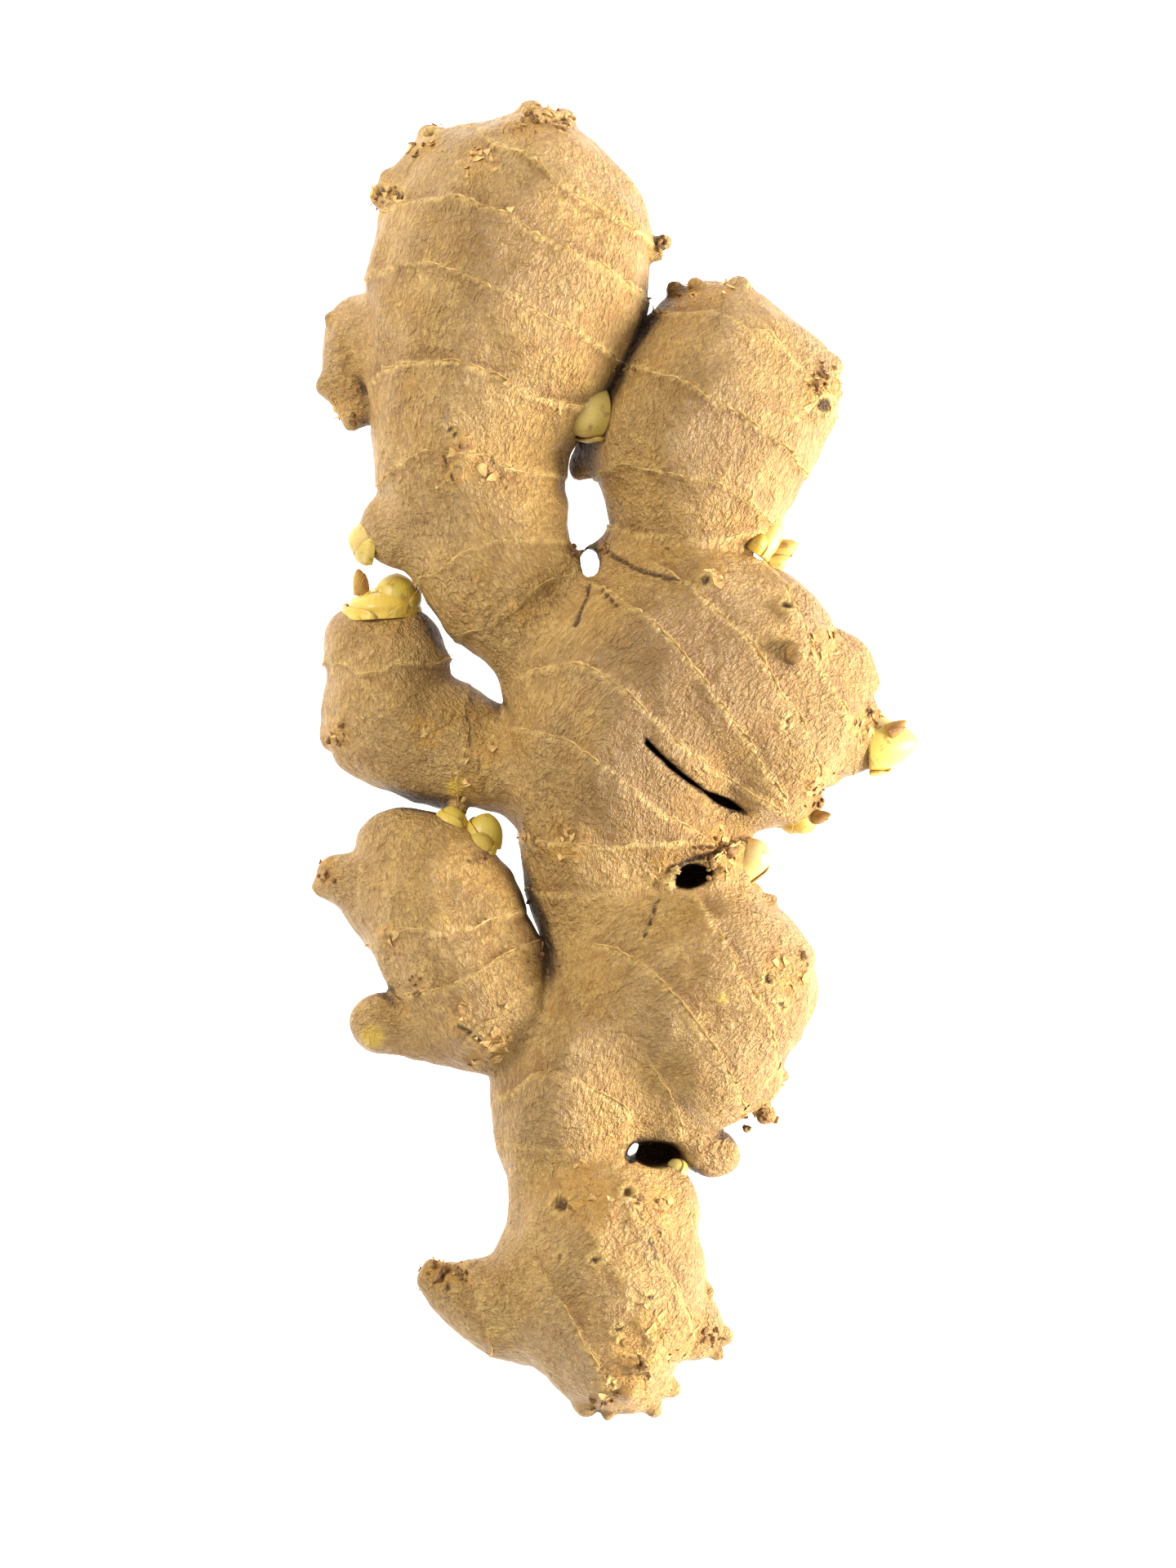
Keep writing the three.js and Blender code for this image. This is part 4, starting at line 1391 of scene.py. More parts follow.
def fringeTree():
    tree, start = geometryTree(
        "ring fringe",
        [
            ("Height", "NodeSocketFloat"),
            ("Lean", "NodeSocketFloat"),
            ("Curl", "NodeSocketFloat"),
            ("Ragged", "NodeSocketFloat"),
            ("Thickness", "NodeSocketFloat"),
            ("Seed", "NodeSocketFloat"),
        ],
    )
    value = start.outputs
    out, tip = named(tree, "out", "FLOAT_VECTOR"), named(tree, "tipward", "FLOAT_VECTOR")
    place = put(tree, "GeometryNodeInputPosition").outputs[0]
    noise = put(
        tree,
        "ShaderNodeTexNoise",
        {"Vector": place, "W": value["Seed"], "Scale": value["Ragged"], "Detail": 2.0, "Roughness": 0.7},
        noise_dimensions="4D",
    ).outputs[0]
    slow = put(
        tree,
        "ShaderNodeTexNoise",
        {"Vector": place, "W": value["Seed"], "Scale": calc(tree, "MULTIPLY", value["Ragged"], 0.18)},
        noise_dimensions="4D",
    ).outputs[0]
    jagged = ranged(tree, noise, 0.36, 0.64, 0.05, 1.1)
    present = ranged(tree, slow, 0.42, 0.60, 0.08, 1.0)
    flap = put(
        tree,
        "ShaderNodeTexNoise",
        {"Vector": place, "W": value["Seed"], "Scale": calc(tree, "MULTIPLY", value["Ragged"], 0.42)},
        noise_dimensions="4D",
    ).outputs[0]
    present = calc(tree, "MULTIPLY", present, ranged(tree, flap, 0.58, 0.70, 0.8, 2.4))
    height = calc(tree, "MULTIPLY", calc(tree, "MULTIPLY", jagged, present), named(tree, "strength"))
    height = calc(tree, "MULTIPLY", calc(tree, "ADD", height, 0.06), value["Height"])
    leaning = vectorCalc(tree, "SCALE", tip, scale=value["Lean"])
    first = vectorCalc(tree, "SCALE", vectorCalc(tree, "ADD", out, leaning), scale=height)
    curling = vectorCalc(tree, "SCALE", tip, scale=value["Curl"])
    bowed = vectorCalc(tree, "ADD", vectorCalc(tree, "SCALE", out, scale=0.35), curling)
    second = vectorCalc(tree, "SCALE", bowed, scale=calc(tree, "MULTIPLY", height, 0.6))
    wire = start.outputs["Geometry"]
    lower = put(tree, "GeometryNodeExtrudeMesh", {"Mesh": wire, "Offset": first}, mode="EDGES")
    upper = put(
        tree,
        "GeometryNodeExtrudeMesh",
        {"Mesh": lower.outputs["Mesh"], "Selection": lower.outputs["Top"], "Offset": second},
        mode="EDGES",
    )
    endTree(tree, thickened(tree, upper.outputs["Mesh"], value["Thickness"]), paper)
    return tree


def grown(name, source, tree, values):
    modifier = source.modifiers.new("growth", "NODES")
    modifier.node_group = tree
    for item in tree.interface.items_tree:
        if item.item_type == "SOCKET" and item.in_out == "INPUT" and item.name in values:
            modifier[item.identifier] = values[item.name]
    bpy.context.view_layer.update()
    graph = bpy.context.evaluated_depsgraph_get()
    mesh = bpy.data.meshes.new_from_object(source.evaluated_get(graph))
    mesh.name = name
    thing = bpy.data.objects.new(name, mesh)
    bpy.context.scene.collection.objects.link(thing)
    bpy.data.objects.remove(source)
    print(name, len(mesh.polygons), "faces")
    return thing


def joinBody(thing):
    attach(thing, "root")


wirePoints, wireOut, wireTip, wireStrength, wireEdges = ringWires()
wireMesh = bpy.data.meshes.new("ring wires")
wireMesh.from_pydata((wirePoints * mm).tolist(), wireEdges, [])
wires = bpy.data.objects.new("ring wires", wireMesh)
bpy.context.scene.collection.objects.link(wires)
giveValues(wires, "out", wireOut)
giveValues(wires, "tipward", wireTip)
giveValues(wires, "strength", wireStrength)
fringes = grown(
    "ring_fringes",
    wires,
    fringeTree(),
    {
        "Height": fringe["height"] * mm,
        "Lean": fringe["lean"],
        "Curl": fringe["curl"],
        "Ragged": fringe["ragged"],
        "Thickness": fringe["thickness"] * mm,
        "Seed": fringe["seed"],
    },
)
joinBody(fringes)

print("flakes and root hairs")
flakes = {
    "density": 4.0e5,
    "size": 1.4,
    "tilt": 0.3,
    "curl": 0.25,
    "thickness": 0.05,
    "rough": 0.95,
    "lowest": 1.5,
    "seed": 7,
}


def flakeSheet(tree, value):
    long_ = calc(tree, "MULTIPLY", value["Size"], 0.62)
    sheet = put(
        tree,
        "GeometryNodeMeshGrid",
        {"Size X": value["Size"], "Size Y": long_, "Vertices X": 6, "Vertices Y": 4},
    ).outputs[0]
    # A flake is wide where it holds on, and narrows and curls up toward its free end.
    position = put(tree, "GeometryNodeInputPosition").outputs[0]
    corner = put(tree, "ShaderNodeSeparateXYZ", {0: position}).outputs
    along = calc(tree, "ADD", calc(tree, "DIVIDE", corner[0], value["Size"]), 0.5)
    squared = calc(tree, "MULTIPLY", along, along)
    narrowed = calc(tree, "MULTIPLY", corner[1], calc(tree, "MULTIPLY_ADD", squared, -0.85, 1.0))
    lifted = calc(tree, "MULTIPLY", calc(tree, "MULTIPLY", squared, value["Curl"]), value["Size"])
    bentPlace = put(tree, "ShaderNodeCombineXYZ", {0: corner[0], 1: narrowed, 2: lifted}).outputs[0]
    return put(tree, "GeometryNodeSetPosition", {"Geometry": sheet, "Position": bentPlace}).outputs[0]


def flakeTree():
    tree, start = geometryTree(
        "skin flakes",
        [
            ("Density", "NodeSocketFloat"),
            ("Size", "NodeSocketFloat"),
            ("Tilt", "NodeSocketFloat"),
            ("Curl", "NodeSocketFloat"),
            ("Thickness", "NodeSocketFloat"),
            ("Rough", "NodeSocketFloat"),
            ("Seed", "NodeSocketInt"),
        ],
    )
    value = start.outputs
    density = calc(tree, "MULTIPLY", value["Density"], named(tree, "flakes"))
    spots = put(
        tree,
        "GeometryNodeDistributePointsOnFaces",
        {"Mesh": value["Geometry"], "Density": density, "Seed": value["Seed"]},
        distribute_method="RANDOM",
    )
    sheet = flakeSheet(tree, value)
    lean = put(tree, "FunctionNodeRandomValue", {"Seed": value["Seed"]}, data_type="FLOAT_VECTOR")
    lean.inputs[0].default_value = (-0.4, -0.8, -3.1)
    lean.inputs[1].default_value = (0.4, 0.3, 3.1)
    most = put(tree, "ShaderNodeCombineXYZ", {0: value["Tilt"], 1: value["Tilt"], 2: 1.0}).outputs[0]
    turned = vectorCalc(tree, "MULTIPLY", lean.outputs[0], most)
    turn = put(tree, "FunctionNodeEulerToRotation", {0: turned}).outputs[0]
    rotation = put(
        tree, "FunctionNodeRotateRotation", {0: spots.outputs["Rotation"], 1: turn}, rotation_space="LOCAL"
    ).outputs[0]
    scale = put(tree, "FunctionNodeRandomValue", {"Seed": value["Seed"]}, data_type="FLOAT_VECTOR")
    scale.inputs[0].default_value = (0.3, 0.4, 1.0)
    scale.inputs[1].default_value = (1.2, 1.3, 1.0)
    points = spots.outputs["Points"]
    copies = put(
        tree,
        "GeometryNodeInstanceOnPoints",
        {"Points": points, "Instance": sheet, "Rotation": rotation, "Scale": scale.outputs[0]},
    ).outputs[0]
    real = put(tree, "GeometryNodeRealizeInstances", {0: copies}).outputs[0]
    place = put(tree, "GeometryNodeInputPosition").outputs[0]
    noise = put(tree, "ShaderNodeTexNoise", {"Vector": place, "Scale": 900.0, "Detail": 2.0}).outputs[1]
    centred = vectorCalc(tree, "SUBTRACT", noise, (0.5, 0.5, 0.5))
    bent = put(
        tree,
        "GeometryNodeSetPosition",
        {"Geometry": real, "Offset": vectorCalc(tree, "SCALE", centred, scale=value["Rough"])},
    ).outputs[0]
    endTree(tree, thickened(tree, bent, value["Thickness"]), paper)
    return tree


def skinCopy(name, attribute, values):
    copy = bpy.data.objects.new(name, root.data.copy())
    bpy.context.scene.collection.objects.link(copy)
    giveValues(copy, attribute, values)
    return copy


aboveTable = shaped[:, 2] > flakes["lowest"]
flakeShare = wear * smoothed(0.2, 0.6, 0.5 + 0.5 * noiseAt(vertices, 2.0, 41)) * (hollow < 0.2) * aboveTable
flakeShare = np.maximum(flakeShare, 0.10 * ringLine * aboveTable)
loose = grown(
    "skin_flakes",
    skinCopy("flake points", "flakes", flakeShare),
    flakeTree(),
    {
        "Density": flakes["density"],
        "Size": flakes["size"] * mm,
        "Tilt": flakes["tilt"],
        "Curl": flakes["curl"],
        "Thickness": flakes["thickness"] * mm,
        "Rough": flakes["rough"] * mm,
        "Seed": flakes["seed"],
    },
)
joinBody(loose)

crumbMaterial = paperMaterial("dry crumbs", crumbLook)
chance = np.random.default_rng(11)


def onSkin(x, y):
    gap = np.hypot(shaped[:, 0] - x, shaped[:, 1] - y)
    near = np.flatnonzero(gap < 0.7)
    if len(near) == 0:
        near = np.flatnonzero(gap < gap.min() + 0.4)
    best = near[np.argmax(shaped[near, 2])]
    return shaped[best], normals[best]


crumbHeaps = [
    (-22.5, -61.4, 1.6, 18, 0.55), (-19.8, -61.9, 1.2, 8, 0.4), (-5.4, 26.2, 0.8, 6, 0.4),
    (-2.3, 26.5, 0.8, 6, 0.4), (-16.4, -10.6, 1.3, 14, 0.42), (-9.6, -23.7, 1.5, 8, 0.35),
    (0.2, 48.3, 1.3, 8, 0.35), (22.3, -23.3, 1, 5, 0.35), (-36, -13.7, 1.2, 7, 0.4),
    (-35.2, 3, 1.4, 9, 0.4), (-25.2, 75.7, 1.4, 6, 0.5), (-10.5, 78.9, 2.2, 12, 0.45),
    (-7, 78.3, 1.2, 6, 0.4), (5.2, 63.6, 0.8, 6, 0.4), (-29, 69.5, 1, 6, 0.35),
    (3, -74.1, 2.6, 14, 0.38), (-2, -78.7, 2, 8, 0.4), (12.2, -70.5, 1.6, 9, 0.4),
    (10.8, -11.3, 1.9, 14, 0.45), (13.2, -10.1, 1.6, 12, 0.45), (24.6, 46.5, 1.8, 9, 0.4),
    (25.8, 48.5, 1.3, 6, 0.4), (17.8, -43.7, 1.2, 8, 0.35), (24, -4.5, 1.6, 8, 0.4),
    (31, 6.3, 1.2, 6, 0.4), (4, -53.5, 2, 9, 0.4), (7, 58.5, 1, 6, 0.35), (-33.2, 41.5, 0.7, 5, 0.4),
    (-12, -9, 1.4, 6, 0.35), (-25.5, -27.3, 1.2, 7, 0.4), (-7, -53.6, 0.8, 5, 0.35),
]
crumbs = {"rough": 0.55, "detail": 1700.0, "raised": 0.15, "sizes": (0.5, 1.3), "seed": 3}


def crumbPoints():
    places, sizes = [], []
    for x, y, spread, count, size in crumbHeaps:
        for dx, dy in chance.normal(0, spread * 0.5, (count, 2)):
            spot, out = onSkin(x + dx, y + dy)
            places.append(spot + out * size * crumbs["raised"])
            sizes.append(size * chance.uniform(*crumbs["sizes"]))
    return np.array(places), np.array(sizes)


def crumbTree():
    tree, start = geometryTree("dry crumbs", [("Rough", "NodeSocketFloat"), ("Seed", "NodeSocketInt")])
    value = start.outputs
    ball = put(tree, "GeometryNodeMeshIcoSphere", {"Radius": mm, "Subdivisions": 3}).outputs[0]
    turn = put(tree, "FunctionNodeRandomValue", {"Seed": value["Seed"]}, data_type="FLOAT_VECTOR")
    turn.inputs[1].default_value = (6.28, 6.28, 6.28)
    shape = put(tree, "FunctionNodeRandomValue", {"Seed": value["Seed"]}, data_type="FLOAT_VECTOR")
    shape.inputs[0].default_value = (0.6, 0.5, 0.25)
    shape.inputs[1].default_value = (1.7, 1.1, 0.7)
    scale = vectorCalc(tree, "SCALE", shape.outputs[0], scale=named(tree, "size"))
    copies = put(
        tree,
        "GeometryNodeInstanceOnPoints",
        {"Points": value["Geometry"], "Instance": ball, "Rotation": turn.outputs[0], "Scale": scale},
    ).outputs[0]
    real = put(tree, "GeometryNodeRealizeInstances", {0: copies}).outputs[0]
    place = put(tree, "GeometryNodeInputPosition").outputs[0]
    noise = put(tree, "ShaderNodeTexNoise", {"Vector": place, "Scale": crumbs["detail"], "Detail": 2.0})
    centred = vectorCalc(tree, "SUBTRACT", noise.outputs[1], (0.5, 0.5, 0.5))
    push = vectorCalc(tree, "SCALE", centred, scale=value["Rough"])
    bent = put(tree, "GeometryNodeSetPosition", {"Geometry": real, "Offset": push}).outputs[0]
    endTree(tree, bent, crumbMaterial)
    return tree


def pointsObject(name, places, values):
    mesh = bpy.data.meshes.new(name)
    mesh.from_pydata((np.asarray(places) * mm).tolist(), [], [])
    thing = bpy.data.objects.new(name, mesh)
    bpy.context.scene.collection.objects.link(thing)
    for key, value in values.items():
        giveValues(thing, key, value)
    return thing


crumbPlaces, crumbSizes = crumbPoints()
crumbSource = pointsObject("crumb points", crumbPlaces, {"size": crumbSizes})
crumbValues = {"Rough": crumbs["rough"] * mm, "Seed": crumbs["seed"]}
heaps = grown("dry_crumbs", crumbSource, crumbTree(), crumbValues)
joinBody(heaps)

tufts = [
    {"place": (-5.4, 26.3), "toward": (1, 0.2, 0.2), "spread": 0.9, "count": 9, "length": 1.7},
    {"place": (-2.3, 26.7), "toward": (-1, 0.5, 0.3), "spread": 0.9, "count": 8, "length": 1.9},
    {"place": (0.8, 48.9), "toward": (-0.3, 0.3, 1), "spread": 1.4, "count": 9, "length": 1.4},
    {"place": (-4, 22.3), "toward": (0, 0.4, 1), "spread": 1, "count": 7, "length": 1.3},
    {"place": (-9.6, -24.1), "toward": (-0.2, 0.6, 0.8), "spread": 1.6, "count": 12, "length": 1.7},
    {"place": (-11.2, -20.5), "toward": (-1, 0.3, 0.4), "spread": 1.2, "count": 8, "length": 1.2},
    {"place": (-20.7, 13.5), "toward": (1, 0.5, 0.2), "spread": 1.5, "count": 9, "length": 1.2},
    {"place": (-18, 7.3), "toward": (1, 0.5, 0.3), "spread": 1.6, "count": 12, "length": 1.3},
    {"place": (-16.2, -10.5), "toward": (0.5, -0.4, 0.6), "spread": 1, "count": 10, "length": 1.1},
    {"place": (-4.8, 37.5), "toward": (0, -1, 0.3), "spread": 0.9, "count": 6, "length": 1.2},
    {"place": (-29.2, 68.9), "toward": (-0.6, 0.2, 0.6), "spread": 1.3, "count": 6, "length": 1.2},
    {"place": (-13.2, -12.5), "toward": (-1, 0.2, 0.3), "spread": 1.5, "count": 6, "length": 1},
    {"place": (10.2, -12.7), "toward": (0.4, 0.8, 0.5), "spread": 1.6, "count": 10, "length": 1.4},
    {"place": (3, -47.7), "toward": (0.2, 0.6, 0.7), "spread": 1.5, "count": 8, "length": 1.2},
    {"place": (22, -22.5), "toward": (1, 0.6, 0.2), "spread": 1, "count": 6, "length": 1.2},
]
hair = {
    "thickness": 0.055,
    "taper": 0.7,
    "waviness": 0.9,
    "waves": 700.0,
    "splay": 0.7,
    "sunk": 0.3,
    "lengths": (0.5, 1.3),
    "seed": 5.0,
}


def hairPoints():
    places, towards, lengths = [], [], []
    for tuft in tufts:
        for dx, dy in chance.normal(0, tuft["spread"] * 0.5, (tuft["count"], 2)):
            spot, out = onSkin(tuft["place"][0] + dx, tuft["place"][1] + dy)
            toward = unit(np.array(tuft["toward"])) + chance.normal(0, hair["splay"], 3)
            places.append(spot - out * hair["sunk"])
            towards.append(unit(toward + 0.3 * out))
            lengths.append(tuft["length"] * chance.uniform(*hair["lengths"]))
    return np.array(places), np.array(towards), np.array(lengths)


def hairTree():
    tree, start = geometryTree(
        "root hairs",
        [("Thickness", "NodeSocketFloat"), ("Waviness", "NodeSocketFloat"), ("Seed", "NodeSocketFloat")],
    )
    value = start.outputs
    line = put(tree, "GeometryNodeCurvePrimitiveLine", {"End": (0, 0, mm)}).outputs[0]
    line = put(tree, "GeometryNodeResampleCurve", {"Curve": line, "Count": 9}).outputs[0]
    toward = named(tree, "toward", "FLOAT_VECTOR")
    turn = put(tree, "FunctionNodeAlignRotationToVector", {"Vector": toward}, axis="Z")
    copies = put(
        tree,
        "GeometryNodeInstanceOnPoints",
        {
            "Points": value["Geometry"],
            "Instance": line,
            "Rotation": turn.outputs[0],
            "Scale": named(tree, "length"),
        },
    ).outputs[0]
    real = put(tree, "GeometryNodeRealizeInstances", {0: copies}).outputs[0]
    share = put(tree, "GeometryNodeSplineParameter").outputs["Factor"]
    place = put(tree, "GeometryNodeInputPosition").outputs[0]
    noise = put(
        tree,
        "ShaderNodeTexNoise",
        {"Vector": place, "W": value["Seed"], "Scale": hair["waves"], "Detail": 2.0},
        noise_dimensions="4D",
    ).outputs[1]
    centred = vectorCalc(tree, "SUBTRACT", noise, (0.5, 0.5, 0.5))
    push = vectorCalc(tree, "SCALE", centred, scale=calc(tree, "MULTIPLY", share, value["Waviness"]))
    waved = put(tree, "GeometryNodeSetPosition", {"Geometry": real, "Offset": push}).outputs[0]
    narrowing = calc(tree, "MULTIPLY_ADD", share, -hair["taper"], 1.0)
    radius = calc(tree, "MULTIPLY", narrowing, value["Thickness"])
    circle = {"Resolution": 6, "Radius": 1.0}
    round_ = put(tree, "GeometryNodeCurvePrimitiveCircle", circle, mode="RADIUS").outputs[0]
    solid = put(
        tree,
        "GeometryNodeCurveToMesh",
        {"Curve": waved, "Profile Curve": round_, "Scale": radius, "Fill Caps": True},
    ).outputs[0]
    endTree(tree, solid, crumbMaterial)
    return tree


hairPlaces, hairTowards, hairLengths = hairPoints()
hairSource = pointsObject("hair points", hairPlaces, {"toward": hairTowards, "length": hairLengths})
hairValues = {"Thickness": hair["thickness"] * mm, "Waviness": hair["waviness"] * mm, "Seed": hair["seed"]}
hairs = grown("root_hairs", hairSource, hairTree(), hairValues)
joinBody(hairs)


print("buds")
budLook = {
    "yellow": (0.70, 0.44, 0.03, 1),
    "green": (0.38, 0.33, 0.045, 1),
    "cream": (0.80, 0.64, 0.23, 1),
    "dry": (0.36, 0.17, 0.045, 1),
    "pink": (0.74, 0.44, 0.30, 1),
    "roughness": 0.34,
}


def budMaterial():
    look = budLook
    material = bpy.data.materials.new("bud scale")
    material.use_nodes = True
    tree = material.node_tree
    tree.nodes.clear()
    place = scaled(tree, put(tree, "ShaderNodeTexCoord").outputs["Object"], (1000, 1000, 1000))
    grain = vectorOf(tree, "budGrain")
    veins = noiseNode(tree, scaled(tree, grain, (14, 2.0, 14)), 1.0, 2.0, 0.5)
    patchy = useGroup(tree, blotches, {"Vector": place, "Size": 2.2, "Softness": 0.25}).outputs[0]
    fine = useGroup(tree, blotches, {"Vector": place, "Size": 0.55, "Softness": 0.2}).outputs[0]
    colour = mixed(tree, valueOf(tree, "green"), look["yellow"], look["green"])
    towardTip = ranged(tree, valueOf(tree, "tip"), 0.1, 1.0, 0.5, 1.0)
    tip = calc(tree, "MULTIPLY", towardTip, valueOf(tree, "pale"))
    colour = mixed(tree, tip, colour, look["cream"])
    colour = mixed(tree, calc(tree, "MULTIPLY", patchy, 0.15), colour, look["cream"])
    veinShare = calc(tree, "MULTIPLY_ADD", valueOf(tree, "pale"), -0.16, 0.22)
    veined = calc(tree, "MULTIPLY", ranged(tree, veins, 0.45, 0.7), veinShare)
    colour = mixed(tree, veined, colour, look["green"])
    colour = mixed(tree, valueOf(tree, "pink"), colour, look["pink"])
    rough = calc(tree, "ADD", valueOf(tree, "margin"), calc(tree, "MULTIPLY", fine, 0.35))
    margin = ranged(tree, rough, 0.85, 1.25)
    dryness = calc(tree, "MULTIPLY", margin, 0.8)
    colour = mixed(tree, dryness, colour, look["dry"])
    spots = noiseNode(tree, place, 0.55, 4.0, 0.65, 0.6)
    colour = mixed(tree, ranged(tree, spots, 0.56, 0.68, 0.0, 0.75), colour, look["dry"])
    dried = calc(tree, "MULTIPLY", valueOf(tree, "dry"), ranged(tree, patchy, 0.0, 0.8, 0.5, 1.0))
    colour = mixed(tree, dried, colour, look["dry"])
    height = calc(tree, "ADD", veins, calc(tree, "MULTIPLY", fine, calc(tree, "ADD", dried, 0.15)))
    bump = put(tree, "ShaderNodeBump", {"Strength": 0.6, "Distance": 0.08 * mm, "Height": height})
    rough = mixedValue(tree, dried, look["roughness"], 0.7)
    shader = put(
        tree,
        "ShaderNodeBsdfPrincipled",
        {"Base Color": colour, "Roughness": rough, "Normal": bump.outputs[0], "Specular IOR Level": 0.45},
    )
    put(tree, "ShaderNodeOutputMaterial", {"Surface": shader.outputs[0]})
    return material


budSkin = budMaterial()

